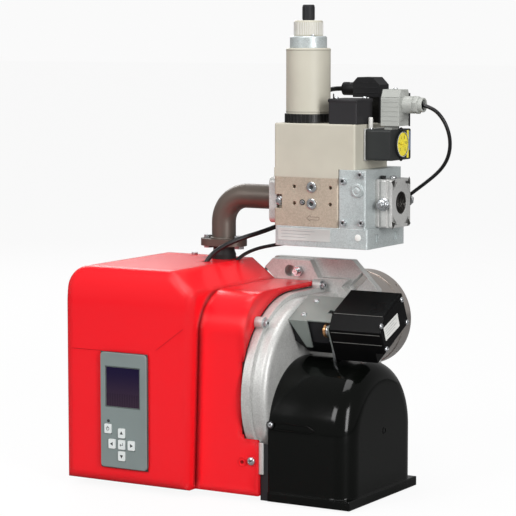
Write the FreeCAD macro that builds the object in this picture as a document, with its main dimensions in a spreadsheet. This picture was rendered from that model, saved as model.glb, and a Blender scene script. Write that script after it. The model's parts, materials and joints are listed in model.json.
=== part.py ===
import FreeCAD, Part
import math
import os
import Sketcher
from FreeCAD import Placement, Rotation, Vector

# Forced-draught gas burner with its gas train, in millimetres.
# Origin: centre of the boiler flange's boiler-side face, on the blast tube's axis.
# +Y runs along the blast tube into the boiler, +X is the air-intake side, +Z is up.

doc = FreeCAD.newDocument("gas_burner")
sheet = doc.addObject("Spreadsheet::Sheet", "sizes")


# A size is a number with the expression that the document keeps for it.
class Size:
    def __init__(self, value, text):
        self.value = float(value)
        self.text = text

    def __add__(self, other):
        other = as_size(other)
        return Size(self.value + other.value, f"({self.text} + {other.text})")

    def __sub__(self, other):
        other = as_size(other)
        return Size(self.value - other.value, f"({self.text} - {other.text})")

    def __mul__(self, other):
        other = as_size(other)
        return Size(self.value * other.value, f"({self.text} * {other.text})")

    def __truediv__(self, other):
        other = as_size(other)
        return Size(self.value / other.value, f"({self.text} / {other.text})")

    def __neg__(self):
        return Size(-self.value, f"(0 - {self.text})")

    __radd__ = __add__
    __rmul__ = __mul__

    def __rsub__(self, other):
        return as_size(other) - self


def as_size(number):
    return number if isinstance(number, Size) else Size(number, f"({float(number)})")


def number(size):
    return as_size(size).value


def cosine(angle):
    return Size(math.cos(math.radians(angle.value)), f"cos({angle.text} * 1 deg)")


def sine(angle):
    return Size(math.sin(math.radians(angle.value)), f"sin({angle.text} * 1 deg)")


class Sizes:
    row = 0

    def set(self, **values):
        for name, value in values.items():
            self.row += 1
            sheet.set(f"A{self.row}", name.replace("_", " "))
            sheet.set(f"B{self.row}", str(value))
            sheet.setAlias(f"B{self.row}", name)
            setattr(self, name, Size(value, f"sizes.{name}"))


d = Sizes()
parts = {}
ALONG = {
    "X": Rotation(Vector(0, 0, 1), Vector(1, 0, 0)),
    "Y": Rotation(Vector(0, 0, 1), Vector(0, 1, 0)),
    "Z": Rotation(),
}


def bind(thing, path, size):
    thing.setExpression(path, as_size(size).text)


def place(thing, x=0, y=0, z=0, turn=None):
    thing.Placement = Placement(Vector(number(x), number(y), number(z)), turn or Rotation())
    for axis, size in zip("xyz", (x, y, z)):
        if isinstance(size, Size):
            bind(thing, f"Placement.Base.{axis}", size)
    return thing


def keep(label, thing):
    thing.Label = label
    parts[label] = thing
    return thing


def box(x, y, z, length, width, height):
    solid = doc.addObject("Part::Box", "box")
    for path, size in (("Length", length), ("Width", width), ("Height", height)):
        bind(solid, path, size)
    return place(solid, x, y, z)


def rod(axis, x, y, z, radius, length):
    solid = doc.addObject("Part::Cylinder", "rod")
    bind(solid, "Radius", radius)
    bind(solid, "Height", length)
    return place(solid, x, y, z, ALONG[axis])


def taper(axis, x, y, z, radius_1, radius_2, length):
    solid = doc.addObject("Part::Cone", "taper")
    bind(solid, "Radius1", radius_1)
    bind(solid, "Radius2", radius_2)
    bind(solid, "Height", length)
    return place(solid, x, y, z, ALONG[axis])


def hexagon(axis, x, y, z, across, length):
    solid = doc.addObject("Part::Prism", "hexagon")
    solid.Polygon = 6
    bind(solid, "Circumradius", as_size(across) / math.sqrt(3))
    bind(solid, "Height", length)
    return place(solid, x, y, z, ALONG[axis])


def fuse(*solids):
    joined = doc.addObject("Part::MultiFuse", "fuse")
    joined.Shapes = list(solids)
    joined.Refine = True
    return joined


def group(*solids):
    together = doc.addObject("Part::Compound", "group")
    together.Links = list(solids)
    return together


def cut(base, *tools):
    result = doc.addObject("Part::Cut", "cut")
    result.Base = base
    result.Tool = tools[0] if len(tools) == 1 else fuse(*tools)
    result.Refine = True
    return result


def common(first, second):
    result = doc.addObject("Part::MultiCommon", "common")
    result.Shapes = [first, second]
    return result


def new_body(x=0, y=0, z=0, turn=None):
    body = doc.addObject("PartDesign::Body", "body")
    return place(body, x, y, z, turn)


def origin_feature(body, role):
    return next(item for item in body.Origin.OriginFeatures if item.Role == role)


# A sketch on XY, XZ or YZ, at a distance along the axis that is left over.
def sketch(body, plane, at=0):
    drawing = body.newObject("Sketcher::SketchObject", "sketch")
    drawing.AttachmentSupport = [(origin_feature(body, f"{plane}_Plane"), "")]
    drawing.MapMode = "FlatFace"
    offset = -as_size(at) if plane == "XZ" else as_size(at)
    drawing.AttachmentOffset = Placement(Vector(0, 0, offset.value), Rotation())
    bind(drawing, "AttachmentOffset.Base.z", offset)
    return drawing


def pin_point(drawing, geometry, point, u, v):
    for kind, size in (("DistanceX", u), ("DistanceY", v)):
        index = drawing.addConstraint(
            Sketcher.Constraint(kind, -1, 1, geometry, point, number(size))
        )
        if isinstance(size, Size):
            drawing.setExpression(f"Constraints[{index}]", size.text)


def circle(drawing, u, v, radius):
    centre = Vector(number(u), number(v), 0)
    index = drawing.addGeometry(Part.Circle(centre, Vector(0, 0, 1), number(radius)))
    pin_point(drawing, index, 3, u, v)
    limit = drawing.addConstraint(Sketcher.Constraint("Radius", index, number(radius)))
    bind(drawing, f"Constraints[{limit}]", radius)


def arc_centre(start, end, radius, side):
    chord = end - start
    rise = math.sqrt(max(radius * radius - chord.Length ** 2 / 4, 0))
    across = Vector(-chord.y, chord.x, 0).normalize()
    return (start + end) * 0.5 + across * (side * rise)


# Corners are (u, v), or (u, v, radius, side) where an arc arrives at that corner.
# Side 1 puts the arc's centre on the left of the way from the corner before it.
def outline(drawing, corners):
    ends = [Vector(number(corner[0]), number(corner[1]), 0) for corner in corners]
    joints = []
    for i, corner in enumerate(corners):
        start, end = ends[i - 1], ends[i]
        if len(corner) == 2:
            index = drawing.addGeometry(Part.LineSegment(start, end))
            joints.append((index, 1, 2))
            continue
        radius, side = corner[2], corner[3]
        middle = arc_centre(start, end, number(radius), side)
        first, last = (start, end) if side > 0 else (end, start)
        angles = [math.atan2(p.y - middle.y, p.x - middle.x) for p in (first, last)]
        curve = Part.Circle(middle, Vector(0, 0, 1), number(radius))
        index = drawing.addGeometry(Part.ArcOfCircle(curve, *angles))
        joints.append((index, 1, 2) if side > 0 else (index, 2, 1))
        limit = drawing.addConstraint(Sketcher.Constraint("Radius", index, number(radius)))
        bind(drawing, f"Constraints[{limit}]", radius)
    for i, corner in enumerate(corners):
        index, _, end = joints[i]
        following, start, _ = joints[(i + 1) % len(joints)]
        drawing.addConstraint(Sketcher.Constraint("Coincident", index, end, following, start))
        pin_point(drawing, index, end, corner[0], corner[1])


def rectangle(drawing, u, v, width, height):
    outline(drawing, [(u, v), (u + width, v), (u + width, v + height), (u, v + height)])


# Length runs along the positive axis that the sketch's plane leaves over, or back along it.
def extrude(kind, body, drawing, length, back=False):
    feature = body.newObject(f"PartDesign::{kind}", kind.lower())
    feature.Profile = drawing
    bind(feature, "Length", length)
    support = drawing.AttachmentSupport[0][0].Role
    toward_normal = (support != "XZ_Plane") != back
    feature.Reversed = toward_normal if kind == "Pocket" else not toward_normal
    doc.recompute()
    return feature


def pad(body, drawing, length, back=False):
    return extrude("Pad", body, drawing, length, back)


def pocket(body, drawing, length, back=False):
    return extrude("Pocket", body, drawing, length, back)


def turned(kind, body, drawing, axis, angle=360):
    feature = body.newObject(f"PartDesign::{kind}", kind.lower())
    feature.Profile = drawing
    feature.ReferenceAxis = (origin_feature(body, f"{axis}_Axis"), [""])
    feature.Angle = angle
    doc.recompute()
    return feature


def repeat(body, features, axis, count):
    pattern = body.newObject("PartDesign::PolarPattern", "pattern")
    pattern.Originals = features
    pattern.Axis = (origin_feature(body, f"{axis}_Axis"), [""])
    pattern.Angle = 360
    bind(pattern, "Occurrences", count)
    body.Tip = pattern
    doc.recompute()
    return pattern


def edge_names(shape, chosen):
    return [f"Edge{i}" for i, edge in enumerate(shape.Edges, 1) if chosen(edge)]


def soften(kind, body, size, chosen):
    base = body.Tip
    names = edge_names(base.Shape, chosen)
    feature = body.newObject(f"PartDesign::{kind}", kind.lower())
    feature.Base = (base, names)
    bind(feature, "Radius" if kind == "Fillet" else "Size", size)
    doc.recompute()
    return feature


def middle_of(edge):
    return edge.BoundBox.Center


def runs_along(edge, axis):
    box_sizes = {"X": edge.BoundBox.XLength, "Y": edge.BoundBox.YLength, "Z": edge.BoundBox.ZLength}
    others = [size for name, size in box_sizes.items() if name != axis]
    return max(others) < 1e-4 and box_sizes[axis] > 1e-4


def near(first, second):
    return abs(number(first) - number(second)) < 0.01


# Boiler flange, head plate and blast tube
d.set(flange_side=200, flange_thickness=12, flange_chamfer=39, flange_corner=4)
d.set(slot_width=11, slot_inner=84, slot_outer=112, notch_room=4)
d.set(head_thickness=12, head_inset=2, head_right=78, head_bore=62, head_shoulder=74, head_bevel=1)
d.set(keyhole_x=-32, keyhole_z=81.5, low_keyhole_x=-68, low_keyhole_z=-62)
d.set(keyhole_radius=8, keyhole_travel=15, stud_radius=4, nut_across=13, nut_height=6.4)
d.set(tube_radius=68.5, tube_wall=2, tube_length=152, tube_fit=0.3, collar_lip=5)
d.set(collar_thickness=2, rim_band=24, rim_step=0.8, rim_hole=2, rim_hole_inset=7)
d.set(fit_gap=0.3)

DIAGONAL = math.sqrt(0.5)
head_front = -(d.flange_thickness + d.head_thickness)
KEYHOLES = ((d.keyhole_x, d.keyhole_z), (d.low_keyhole_x, d.low_keyhole_z))


def boiler_flange():
    body = new_body()
    half, chamfer = d.flange_side / 2, d.flange_chamfer
    plate = sketch(body, "XZ", -d.flange_thickness)
    outline(plate, [
        (-half, chamfer - half), (chamfer - half, -half), (half - chamfer, -half), (half, chamfer - half),
        (half, half - chamfer), (half - chamfer, half), (chamfer - half, half), (-half, half - chamfer),
    ])
    pad(body, plate, d.flange_thickness)
    soften("Fillet", body, d.flange_corner, lambda edge: runs_along(edge, "Y"))
    bore = sketch(body, "XZ", -d.flange_thickness)
    circle(bore, 0, 0, d.tube_radius + d.tube_fit)
    pocket(body, bore, d.flange_thickness)
    seat = sketch(body, "XZ", -d.flange_thickness)
    circle(seat, 0, 0, d.tube_radius + d.collar_lip + d.tube_fit)
    pocket(body, seat, d.collar_thickness)
    stud_slots(body, -d.flange_thickness, d.flange_thickness, d.slot_width, d.slot_inner, d.slot_outer)
    keep("boiler_flange", body)


# Four slots through a plate along its diagonals, for the boiler's studs
def stud_slots(body, at, thickness, width, start, end):
    slot = sketch(body, "XZ", at)
    inner, outer, side = start * DIAGONAL, end * DIAGONAL, width * (DIAGONAL / 2)
    outline(slot, [
        (inner + side, inner - side), (outer + side, outer - side),
        (outer - side, outer + side), (inner - side, inner + side),
    ])
    repeat(body, [pocket(body, slot, thickness)], "Y", 4)


def head_plate():
    body = new_body()
    left = d.head_inset - d.flange_side / 2
    top, chamfer, right = -left, d.flange_chamfer, d.head_right
    plate = sketch(body, "XZ", head_front)
    outline(plate, [
        (left, left + chamfer), (left + chamfer, left), (right - chamfer, left), (right, left + chamfer),
        (right, d.head_shoulder - chamfer / 2), (right - chamfer / 2, d.head_shoulder),
        (chamfer / 3, d.head_shoulder), (0, top), (left + chamfer, top), (left, top - chamfer),
    ])
    pad(body, plate, d.head_thickness)
    bore = sketch(body, "XZ", head_front)
    circle(bore, 0, 0, d.head_bore)
    for x, z in KEYHOLES:
        circle(bore, x, z, d.keyhole_radius)
    pocket(body, bore, d.head_thickness)
    necks = sketch(body, "XZ", head_front)
    for x, z in KEYHOLES:
        neck = d.stud_radius + d.fit_gap
        rectangle(necks, x, z - neck, d.keyhole_travel + neck, neck * 2)
    pocket(body, necks, d.head_thickness)
    soften("Chamfer", body, d.head_bevel, lambda edge: runs_along(edge, "X") and near(middle_of(edge).z, top))
    notch_width, notch_start = d.slot_width + d.notch_room * 2, d.slot_inner - d.notch_room
    stud_slots(body, head_front, d.head_thickness, notch_width, notch_start, d.flange_side * DIAGONAL)
    keep("head_plate", body)


def flange_studs():
    pieces = []
    nut = d.nut_height
    for x, z in KEYHOLES:
        x = x + d.keyhole_travel
        stud = rod("Y", x, head_front - nut * 2, z, d.stud_radius, nut * 2 + d.head_thickness)
        pieces.append(fuse(stud, hexagon("Y", x, head_front - nut, z, d.nut_across, nut)))
    keep("flange_studs", group(*pieces))


def blast_tube():
    body = new_body(turn=Rotation(Vector(0, 1, 0), 45))
    back = -d.flange_thickness
    wall = sketch(body, "XY")
    radius, inner = d.tube_radius, d.tube_radius - d.tube_wall
    outline(wall, [
        (inner, back), (radius + d.collar_lip, back), (radius + d.collar_lip, back + d.collar_thickness),
        (radius, back + d.collar_thickness), (radius, d.tube_length - d.rim_band),
        (radius + d.rim_step, d.tube_length - d.rim_band), (radius + d.rim_step, d.tube_length),
        (inner, d.tube_length),
    ])
    turned("Revolution", body, wall, "Y")
    hole = sketch(body, "YZ", inner - 1)
    circle(hole, d.tube_length - d.rim_hole_inset, 0, d.rim_hole)
    repeat(body, [pocket(body, hole, d.tube_wall * 3)], "Y", 4)
    keep("blast_tube", body)


# Fan casing: scroll about the fan's axis, in two halves that meet at the seam
d.set(fan_y=-111, fan_z=-63)
d.set(scroll_bottom=112, scroll_front=119, scroll_top=125, right_lip=6, left_lip=12, casing_wall=4)
d.set(casing_left=-35, casing_seam=18, casing_right=45, casing_rim=6, casing_round=9)
d.set(suction_radius=36, suction_seat=8, shaft_hole=16, tongue_height=33, tongue_slope=5, pipe_entry_fit=1)
d.set(lug_radius=8, lug_reach=3, lug_bolt=3, lug_head=10, head_height=4)
d.set(tab_left=14, tab_right=39, tab_low=-166, tab_high=-124, tab_thickness=2.5)
d.set(web_thickness=6, web_low=-146, web_depth=32)
d.set(train_y=-54, head_pipe_radius=13.4)
scroll_rear = head_front - d.fan_y


# The scroll's corners and its three radii in the fan's own frame, moved inwards by inset
def scroll_sizes(inset=0):
    rear, bottom = scroll_rear - inset, d.scroll_bottom - inset
    front, top = d.scroll_front - inset, d.scroll_top - inset
    first = (rear + bottom) / 2
    second = rear - first + front
    third = top - second + bottom
    return rear, bottom, front, top, first, second, third


def scroll(inset, outlet_low=None):
    rear, bottom, front, top, first, second, third = scroll_sizes(inset)
    path = [
        (rear, first - bottom), (rear - first, -bottom, first, -1), (-front, second - bottom, second, -1),
        (third - front, top, third, -1), (scroll_rear, top),
    ]
    if outlet_low is not None:
        path += [(scroll_rear, outlet_low), (rear, outlet_low + d.tongue_slope)]
    elif number(inset) > 0:
        path += [(scroll_rear, first - bottom)]
    return path


def lug_places():
    rear, bottom, front, top, first, second, third = scroll_sizes()
    centres = [
        (third - front, second - bottom, third, 132),
        (rear - first, second - bottom, second, 235),
        (rear - first, first - bottom, first, 300),
    ]
    places = [(rear - d.lug_radius, top + d.lug_reach)]
    for y, z, radius, angle in centres:
        reach = radius + d.lug_reach
        places.append((y + reach * math.cos(math.radians(angle)), z + reach * math.sin(math.radians(angle))))
    return places


def on_face(edge, x):
    return near(edge.BoundBox.XMin, x) and near(edge.BoundBox.XMax, x)


def casing_half(lip, rim_start, body_start, body_end, hollow_start, hollow_end, face):
    body = new_body(0, d.fan_y, d.fan_z)
    wall = sketch(body, "YZ", body_start)
    outline(wall, scroll(lip))
    pad(body, wall, body_end - body_start)
    rear = number(scroll_rear + d.fan_y)
    soften("Fillet", body, d.casing_round, lambda edge: on_face(edge, face) and edge.BoundBox.YMin < rear - 1)
    flange = sketch(body, "YZ", rim_start)
    outline(flange, scroll(0))
    pad(body, flange, d.casing_rim)
    lugs = sketch(body, "YZ", rim_start)
    for y, z in lug_places():
        circle(lugs, y, z, d.lug_radius)
    pad(body, lugs, d.casing_rim)
    hollow = sketch(body, "YZ", hollow_start)
    outline(hollow, scroll(lip + d.casing_wall, d.tongue_height))
    pocket(body, hollow, hollow_end - hollow_start)
    holes = sketch(body, "YZ", rim_start)
    for y, z in lug_places():
        circle(holes, y, z, d.lug_bolt + d.fit_gap / 3)
    pocket(body, holes, d.casing_rim)
    return body


def fan_casing_right():
    seam, rim = d.casing_seam, d.casing_rim
    body = casing_half(
        d.right_lip, seam, seam + rim, d.casing_right, seam, d.casing_right - d.casing_wall,
        d.casing_right,
    )
    mouth = rod("X", seam, d.fan_y, d.fan_z, d.suction_radius + d.suction_seat, d.casing_right)
    pivot = rod("X", d.casing_right - 3, d.flap_y, d.flap_z, d.flap_shaft_radius + d.fit_gap, 4)
    back = tab_front + d.tab_thickness
    height = d.tab_high - d.tab_low
    plate = box(d.tab_left, tab_front, d.tab_low, d.tab_right - d.tab_left, d.tab_thickness, height)
    web = box(seam + rim, tab_front, d.web_low, d.web_thickness, d.web_depth, d.tab_high - d.web_low)
    hole = rod("Y", d.screw_x, tab_front - 1, d.screw_z, d.screw_radius + d.fit_gap, back - tab_front + 2)
    inner = new_body(0, d.fan_y, d.fan_z)
    clear = sketch(inner, "YZ", d.tab_left - 1)
    outline(clear, scroll(d.right_lip + d.casing_wall / 2))
    pad(inner, clear, d.tab_right - d.tab_left + 2)
    lug = cut(fuse(plate, web), inner)
    keep("fan_casing_right", cut(fuse(body, lug), mouth, pivot, hole))


def fan_casing_left():
    seam, rim, left, wall = d.casing_seam, d.casing_rim, d.casing_left, d.casing_wall
    body = casing_half(d.left_lip, seam - rim, left, seam - rim, left + wall, seam, left)
    shaft = rod("X", left - 1, d.fan_y, d.fan_z, d.shaft_hole, wall + 2)
    entry = rod("X", left - 1, d.train_y, 0, d.head_pipe_radius + d.pipe_entry_fit, wall + 2)
    keep("fan_casing_left", cut(body, shaft, entry))


def casing_bolts():
    bolts = []
    end = d.casing_seam + d.casing_rim
    for y, z in lug_places():
        y, z = y + d.fan_y, z + d.fan_z
        head = hexagon("X", end, y, z, d.lug_head, d.head_height)
        shank = rod("X", d.casing_seam - d.casing_rim + 1, y, z, d.lug_bolt, d.casing_rim * 2)
        bolts.append(fuse(shank, head))
    keep("casing_bolts", group(*bolts))


# Suction cone, impeller and motor
d.set(cone_thickness=1.5, cone_flange=12, cone_reach=10)
d.set(fan_radius=68, fan_left=-25, fan_right=29, fan_plate=2, blade_inner=53, blade_thickness=1.4)
d.set(blade_radius=11, blade_lead=7, blade_margin=0.5, blade_count=32, fan_eye=51, hub_radius=16,
      hub_length=25)
d.set(shaft_radius=8, shaft_end=-150, shaft_fit=0.3, shaft_bevel=1)
d.set(motor_flange=64, motor_flange_thickness=6, motor_radius=57, motor_end=-172, motor_bell=18)
d.set(fin_count=20, fin_height=4, fin_width=3, bell_radius=40)


def inlet_cone():
    body = new_body(0, d.fan_y, d.fan_z)
    seat = d.casing_right - d.casing_wall
    mouth, wall = d.suction_radius, d.cone_thickness
    bell = sketch(body, "XY")
    outline(bell, [
        (seat, mouth), (seat, mouth + d.cone_flange), (seat - wall, mouth + d.cone_flange),
        (seat - wall, mouth + wall * 2), (seat - d.cone_reach, mouth + wall), (seat - d.cone_reach, mouth),
    ])
    turned("Revolution", body, bell, "X")
    keep("inlet_cone", body)


def disc(body, at, length, radius, bore=None):
    drawing = sketch(body, "YZ", at)
    circle(drawing, 0, 0, radius)
    if bore is not None:
        circle(drawing, 0, 0, bore)
    return pad(body, drawing, length)


def fan_impeller():
    body = new_body(0, d.fan_y, d.fan_z)
    bore = d.shaft_radius + d.shaft_fit / 3
    disc(body, d.fan_left, d.fan_plate, d.fan_radius, bore)
    disc(body, d.fan_left, d.hub_length, d.hub_radius, bore)
    inner, outer, lead = d.blade_inner, d.fan_radius - d.blade_margin, d.blade_lead
    blade = sketch(body, "YZ", d.fan_left + d.fan_plate)
    outline(blade, [
        (inner, -d.blade_thickness),
        (outer - d.blade_thickness, -lead - d.blade_thickness / 2, d.blade_radius - d.blade_thickness, -1),
        (outer, -lead), (inner, 0, d.blade_radius, 1),
    ])
    vane = pad(body, blade, d.fan_right - d.fan_left - d.fan_plate * 2)
    repeat(body, [vane], "X", d.blade_count)
    disc(body, d.fan_right - d.fan_plate, d.fan_plate, d.fan_radius, d.fan_eye)
    keep("fan_impeller", body)


def motor_shaft():
    body = new_body(0, d.fan_y, d.fan_z)
    disc(body, d.shaft_end, d.fan_left + d.hub_length - d.shaft_end, d.shaft_radius)
    soften("Chamfer", body, d.shaft_bevel, lambda edge: edge.BoundBox.XLength < 1e-4)
    keep("motor_shaft", body)


def motor_housing():
    body = new_body(0, d.fan_y, d.fan_z)
    flange_end = d.casing_left - d.motor_flange_thickness
    bore = d.shaft_radius + d.shaft_fit
    frame = sketch(body, "XY")
    outline(frame, [
        (d.casing_left, bore), (d.casing_left, d.motor_flange), (flange_end, d.motor_flange),
        (flange_end, d.motor_radius), (d.motor_end + d.motor_bell, d.motor_radius),
        (d.motor_end, d.bell_radius), (d.motor_end, 0), (d.shaft_end - d.shaft_fit, 0),
        (d.shaft_end - d.shaft_fit, bore),
    ])
    turned("Revolution", body, frame, "X")
    fin = sketch(body, "YZ", d.motor_end + d.motor_bell)
    rectangle(fin, d.motor_radius - 2, -d.fin_width / 2, d.fin_height + 2, d.fin_width)
    ridge = pad(body, fin, flange_end - d.motor_end - d.motor_bell)
    repeat(body, [ridge], "X", d.fin_count)
    keep("motor_housing", body)


# Air intake: silencer dome, damper housing and flap
d.set(intake_depth=120, intake_centre_y=-120.5, intake_centre_z=-115, intake_radius=95.5)
d.set(intake_bottom=-201, intake_wall=3.5, intake_round=28, intake_rim=12, intake_rim_step=1.5)
d.set(channel_radius=6, channel_depth=2, channel_length=76, channel_z=-99)
d.set(rod_slot_front=-137, rod_slot_length=20, rod_slot_width=9)
d.set(tray_depth=11.5, tray_top=-120, tray_gap=2, base_thickness=3)
d.set(duct_radius=39, duct_wall=3, duct_length=52, duct_bottom=-170)
d.set(flap_y=-111, flap_z=-140, flap_gap=1.5, flap_thickness=2, flap_shaft_radius=4)
d.set(lever_length=20, lever_thickness=3, lever_width=10, lever_rest=-45, pin_radius=2)
d.set(servo_y=-155, servo_z=22, lever_x=101, rod_thickness=3, rod_radius=1.6, rod_eye=4.5)
intake_start = d.casing_right


# Half circle over straight sides, seen along X
def arch(radius, y, z, low):
    return [
        (y - radius, low), (y + radius, low), (y + radius, z), (y, z + radius, radius, 1),
        (y - radius, z, radius, 1),
    ]


def dome(inset, start, end, low, rounding):
    body = new_body()
    shape = sketch(body, "YZ", start)
    outline(shape, arch(d.intake_radius - inset, d.intake_centre_y, d.intake_centre_z, low))
    pad(body, shape, end - start)
    soften(
        "Fillet", body, rounding,
        lambda edge: on_face(edge, end) and not near(middle_of(edge).z, low),
    )
    return body


def intake_box():
    end = intake_start + d.intake_depth
    outer = dome(0, intake_start, end, d.intake_bottom, d.intake_round)
    wall = d.intake_wall
    inner = dome(wall, intake_start - 1, end - wall, d.intake_bottom - 5, d.intake_round - wall)
    step, front_y = d.intake_rim_step, d.intake_centre_y - d.intake_radius
    rim = box(
        intake_start, front_y - step, d.intake_bottom, d.intake_depth + step,
        (d.intake_radius + step) * 2, d.intake_rim,
    )
    axis_y = front_y - d.channel_radius + d.channel_depth
    channel = taper(
        "X", intake_start - 1, axis_y, d.channel_z, d.channel_radius,
        d.channel_radius - d.channel_depth, d.channel_length,
    )
    slot = box(
        d.lever_x - d.rod_slot_width / 2 - d.rod_thickness / 2, d.rod_slot_front, d.intake_centre_z,
        d.rod_slot_width, d.rod_slot_length, d.intake_radius + 2,
    )
    keep("intake_box", cut(fuse(outer, rim), inner, channel, slot))


def damper_housing():
    gap = d.intake_wall + d.fit_gap
    base, y, z = new_body(), d.intake_centre_y, d.intake_centre_z
    plate = sketch(base, "YZ", intake_start)
    outline(plate, arch(d.intake_radius - gap, y, z, d.intake_bottom))
    pad(base, plate, d.base_thickness)
    duct = sketch(base, "YZ", intake_start)
    outline(duct, arch(d.duct_radius, d.fan_y, d.fan_z, d.duct_bottom))
    pad(base, duct, d.duct_length)
    hollow = sketch(base, "YZ", intake_start)
    outline(hollow, arch(d.duct_radius - d.duct_wall, d.fan_y, d.fan_z, d.duct_bottom - 1))
    pocket(base, hollow, d.duct_length - d.duct_wall)
    far = intake_start + d.duct_length
    bearing = rod("X", far - d.duct_wall - 1, d.flap_y, d.flap_z, d.flap_shaft_radius + d.fit_gap, 8)
    tray = box(
        intake_start - d.tray_depth, y - d.intake_radius, d.intake_bottom, d.tray_depth,
        d.intake_radius * 2, d.tray_top - d.intake_bottom,
    )
    around = new_body(0, d.fan_y, d.fan_z)
    clear = sketch(around, "YZ", intake_start - d.tray_depth - 1)
    outline(clear, scroll(-d.tray_gap))
    pad(around, clear, d.tray_depth + 1)
    mouth = box(
        intake_start - 1, d.fan_y - d.duct_radius + d.duct_wall, d.intake_bottom - 1, d.base_thickness + 2,
        (d.duct_radius - d.duct_wall) * 2, d.duct_bottom - d.intake_bottom + 2,
    )
    keep("damper_housing", cut(fuse(base, cut(tray, around)), bearing, mouth))


def damper_flap():
    inner = d.duct_radius - d.duct_wall - d.flap_gap
    start = intake_start + d.flap_gap
    width = d.duct_length - d.duct_wall - d.flap_gap * 2
    low = d.flap_z - d.flap_thickness / 2
    plate = box(start, d.flap_y - inner, low, width, inner * 2, d.flap_thickness)
    sleeve = rod("X", start, d.flap_y, d.flap_z, d.flap_shaft_radius + 2, width)
    bore = rod("X", intake_start, d.flap_y, d.flap_z, d.flap_shaft_radius + d.fit_gap / 3, d.duct_length)
    keep("damper_flap", cut(fuse(plate, sleeve), bore))


# A lever that turns about X, at its rest angle, with its pin towards -X
def lever(y, z, bore):
    body = new_body(0, y, z, Rotation(Vector(1, 0, 0), number(d.lever_rest)))
    half = d.lever_width / 2
    arm = sketch(body, "YZ", d.lever_x)
    outline(arm, [
        (d.lever_length, -half), (d.lever_length + half, 0, half, 1), (d.lever_length, half, half, 1),
        (0, half), (-half, 0, half, 1), (0, -half, half, 1),
    ])
    pad(body, arm, d.lever_thickness)
    boss = sketch(body, "YZ", d.lever_x)
    circle(boss, 0, 0, bore + 2)
    pad(body, boss, d.lever_thickness)
    pin = sketch(body, "YZ", d.lever_x - d.rod_thickness - d.fit_gap * 2)
    circle(pin, d.lever_length, 0, d.pin_radius)
    pad(body, pin, d.rod_thickness + d.lever_thickness)
    hole = sketch(body, "YZ", d.lever_x)
    circle(hole, 0, 0, bore)
    pocket(body, hole, d.lever_thickness)
    return body


def damper_shaft():
    arm = lever(d.flap_y, d.flap_z, d.flap_shaft_radius - 1)
    start = d.casing_right - 2
    core = rod("X", start, d.flap_y, d.flap_z, d.flap_shaft_radius, d.lever_x + 1 - start)
    keep("damper_shaft", fuse(arm, core))


def servo_lever():
    keep("servo_lever", lever(d.servo_y, d.servo_z, d.hub_neck + d.fit_gap / 3))


def link_rod():
    reach_y, reach_z = d.flap_y - d.servo_y, d.flap_z - d.servo_z
    span = math.hypot(number(reach_y), number(reach_z))
    tilt = math.degrees(math.atan2(number(reach_y), -number(reach_z)))
    angle = number(d.lever_rest)
    pin_y = d.servo_y + d.lever_length * math.cos(math.radians(angle))
    pin_z = d.servo_z + d.lever_length * math.sin(math.radians(angle))
    start = d.lever_x - d.rod_thickness - d.fit_gap / 2
    body = new_body(0, pin_y, pin_z, Rotation(Vector(1, 0, 0), tilt))
    eyes = sketch(body, "YZ", start)
    for drop in (0, -span):
        circle(eyes, 0, drop, d.rod_eye)
    pad(body, eyes, d.rod_thickness)
    bar = sketch(body, "YZ", start)
    rectangle(bar, -d.rod_radius, -span, d.rod_radius * 2, span)
    pad(body, bar, d.rod_thickness)
    holes = sketch(body, "YZ", start)
    for drop in (0, -span):
        circle(holes, 0, drop, d.pin_radius + d.fit_gap / 2)
    pocket(body, holes, d.rod_thickness)
    keep("link_rod", body)


# Servomotor on its pedestal and bracket, tilted about the damper's drive axis
d.set(servo_tilt=26, hub_radius_1=9.5, hub_neck=6, spindle_radius=4, spindle_length=14)
d.set(servo_start=110, servo_end=186, servo_low_end=172, servo_back=64, servo_low_back=40)
d.set(servo_front=-12, servo_under=-22, servo_over=24, servo_foot=-37, servo_bevel=14)
d.set(bracket_over=12, bracket_sheet=2, bracket_back=59, bracket_notch=8)
d.set(tab_drop=40, tab_inset=18, tab_foot=9, tab_head=28, servo_round=2.5)
d.set(pedestal_end=97, pedestal_drop=20)


def servo_motor():
    body = new_body(0, d.servo_y, d.servo_z, Rotation(Vector(1, 0, 0), number(d.servo_tilt)))
    main = sketch(body, "YZ", d.servo_start)
    outline(main, [
        (d.servo_front, d.servo_under), (d.servo_back, d.servo_under), (d.servo_back, d.servo_over),
        (d.servo_front + d.servo_bevel + 4, d.servo_over), (d.servo_front, d.servo_over - d.servo_bevel),
    ])
    pad(body, main, d.servo_end - d.servo_start)
    foot = sketch(body, "YZ", d.servo_start)
    rectangle(
        foot, d.servo_front, d.servo_foot, d.servo_low_back - d.servo_front, d.servo_under - d.servo_foot,
    )
    pad(body, foot, d.servo_low_end - d.servo_start)
    soften("Fillet", body, d.servo_round, lambda edge: near(edge.BoundBox.XMin, d.servo_end))
    socket = sketch(body, "YZ", d.servo_start)
    circle(socket, 0, 0, d.spindle_radius + d.fit_gap)
    pocket(body, socket, d.spindle_length)
    keep("servo_motor", body)


def servo_hub():
    body = new_body(0, d.servo_y, d.servo_z)
    flange_x = d.lever_x - d.rod_thickness
    disc(body, flange_x, d.rod_thickness, d.hub_radius_1)
    disc(body, d.lever_x, d.lever_thickness, d.hub_neck)
    neck_end = d.lever_x + d.lever_thickness
    disc(body, neck_end, d.servo_start + d.spindle_length - 1 - neck_end, d.spindle_radius)
    keep("servo_hub", body)


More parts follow.
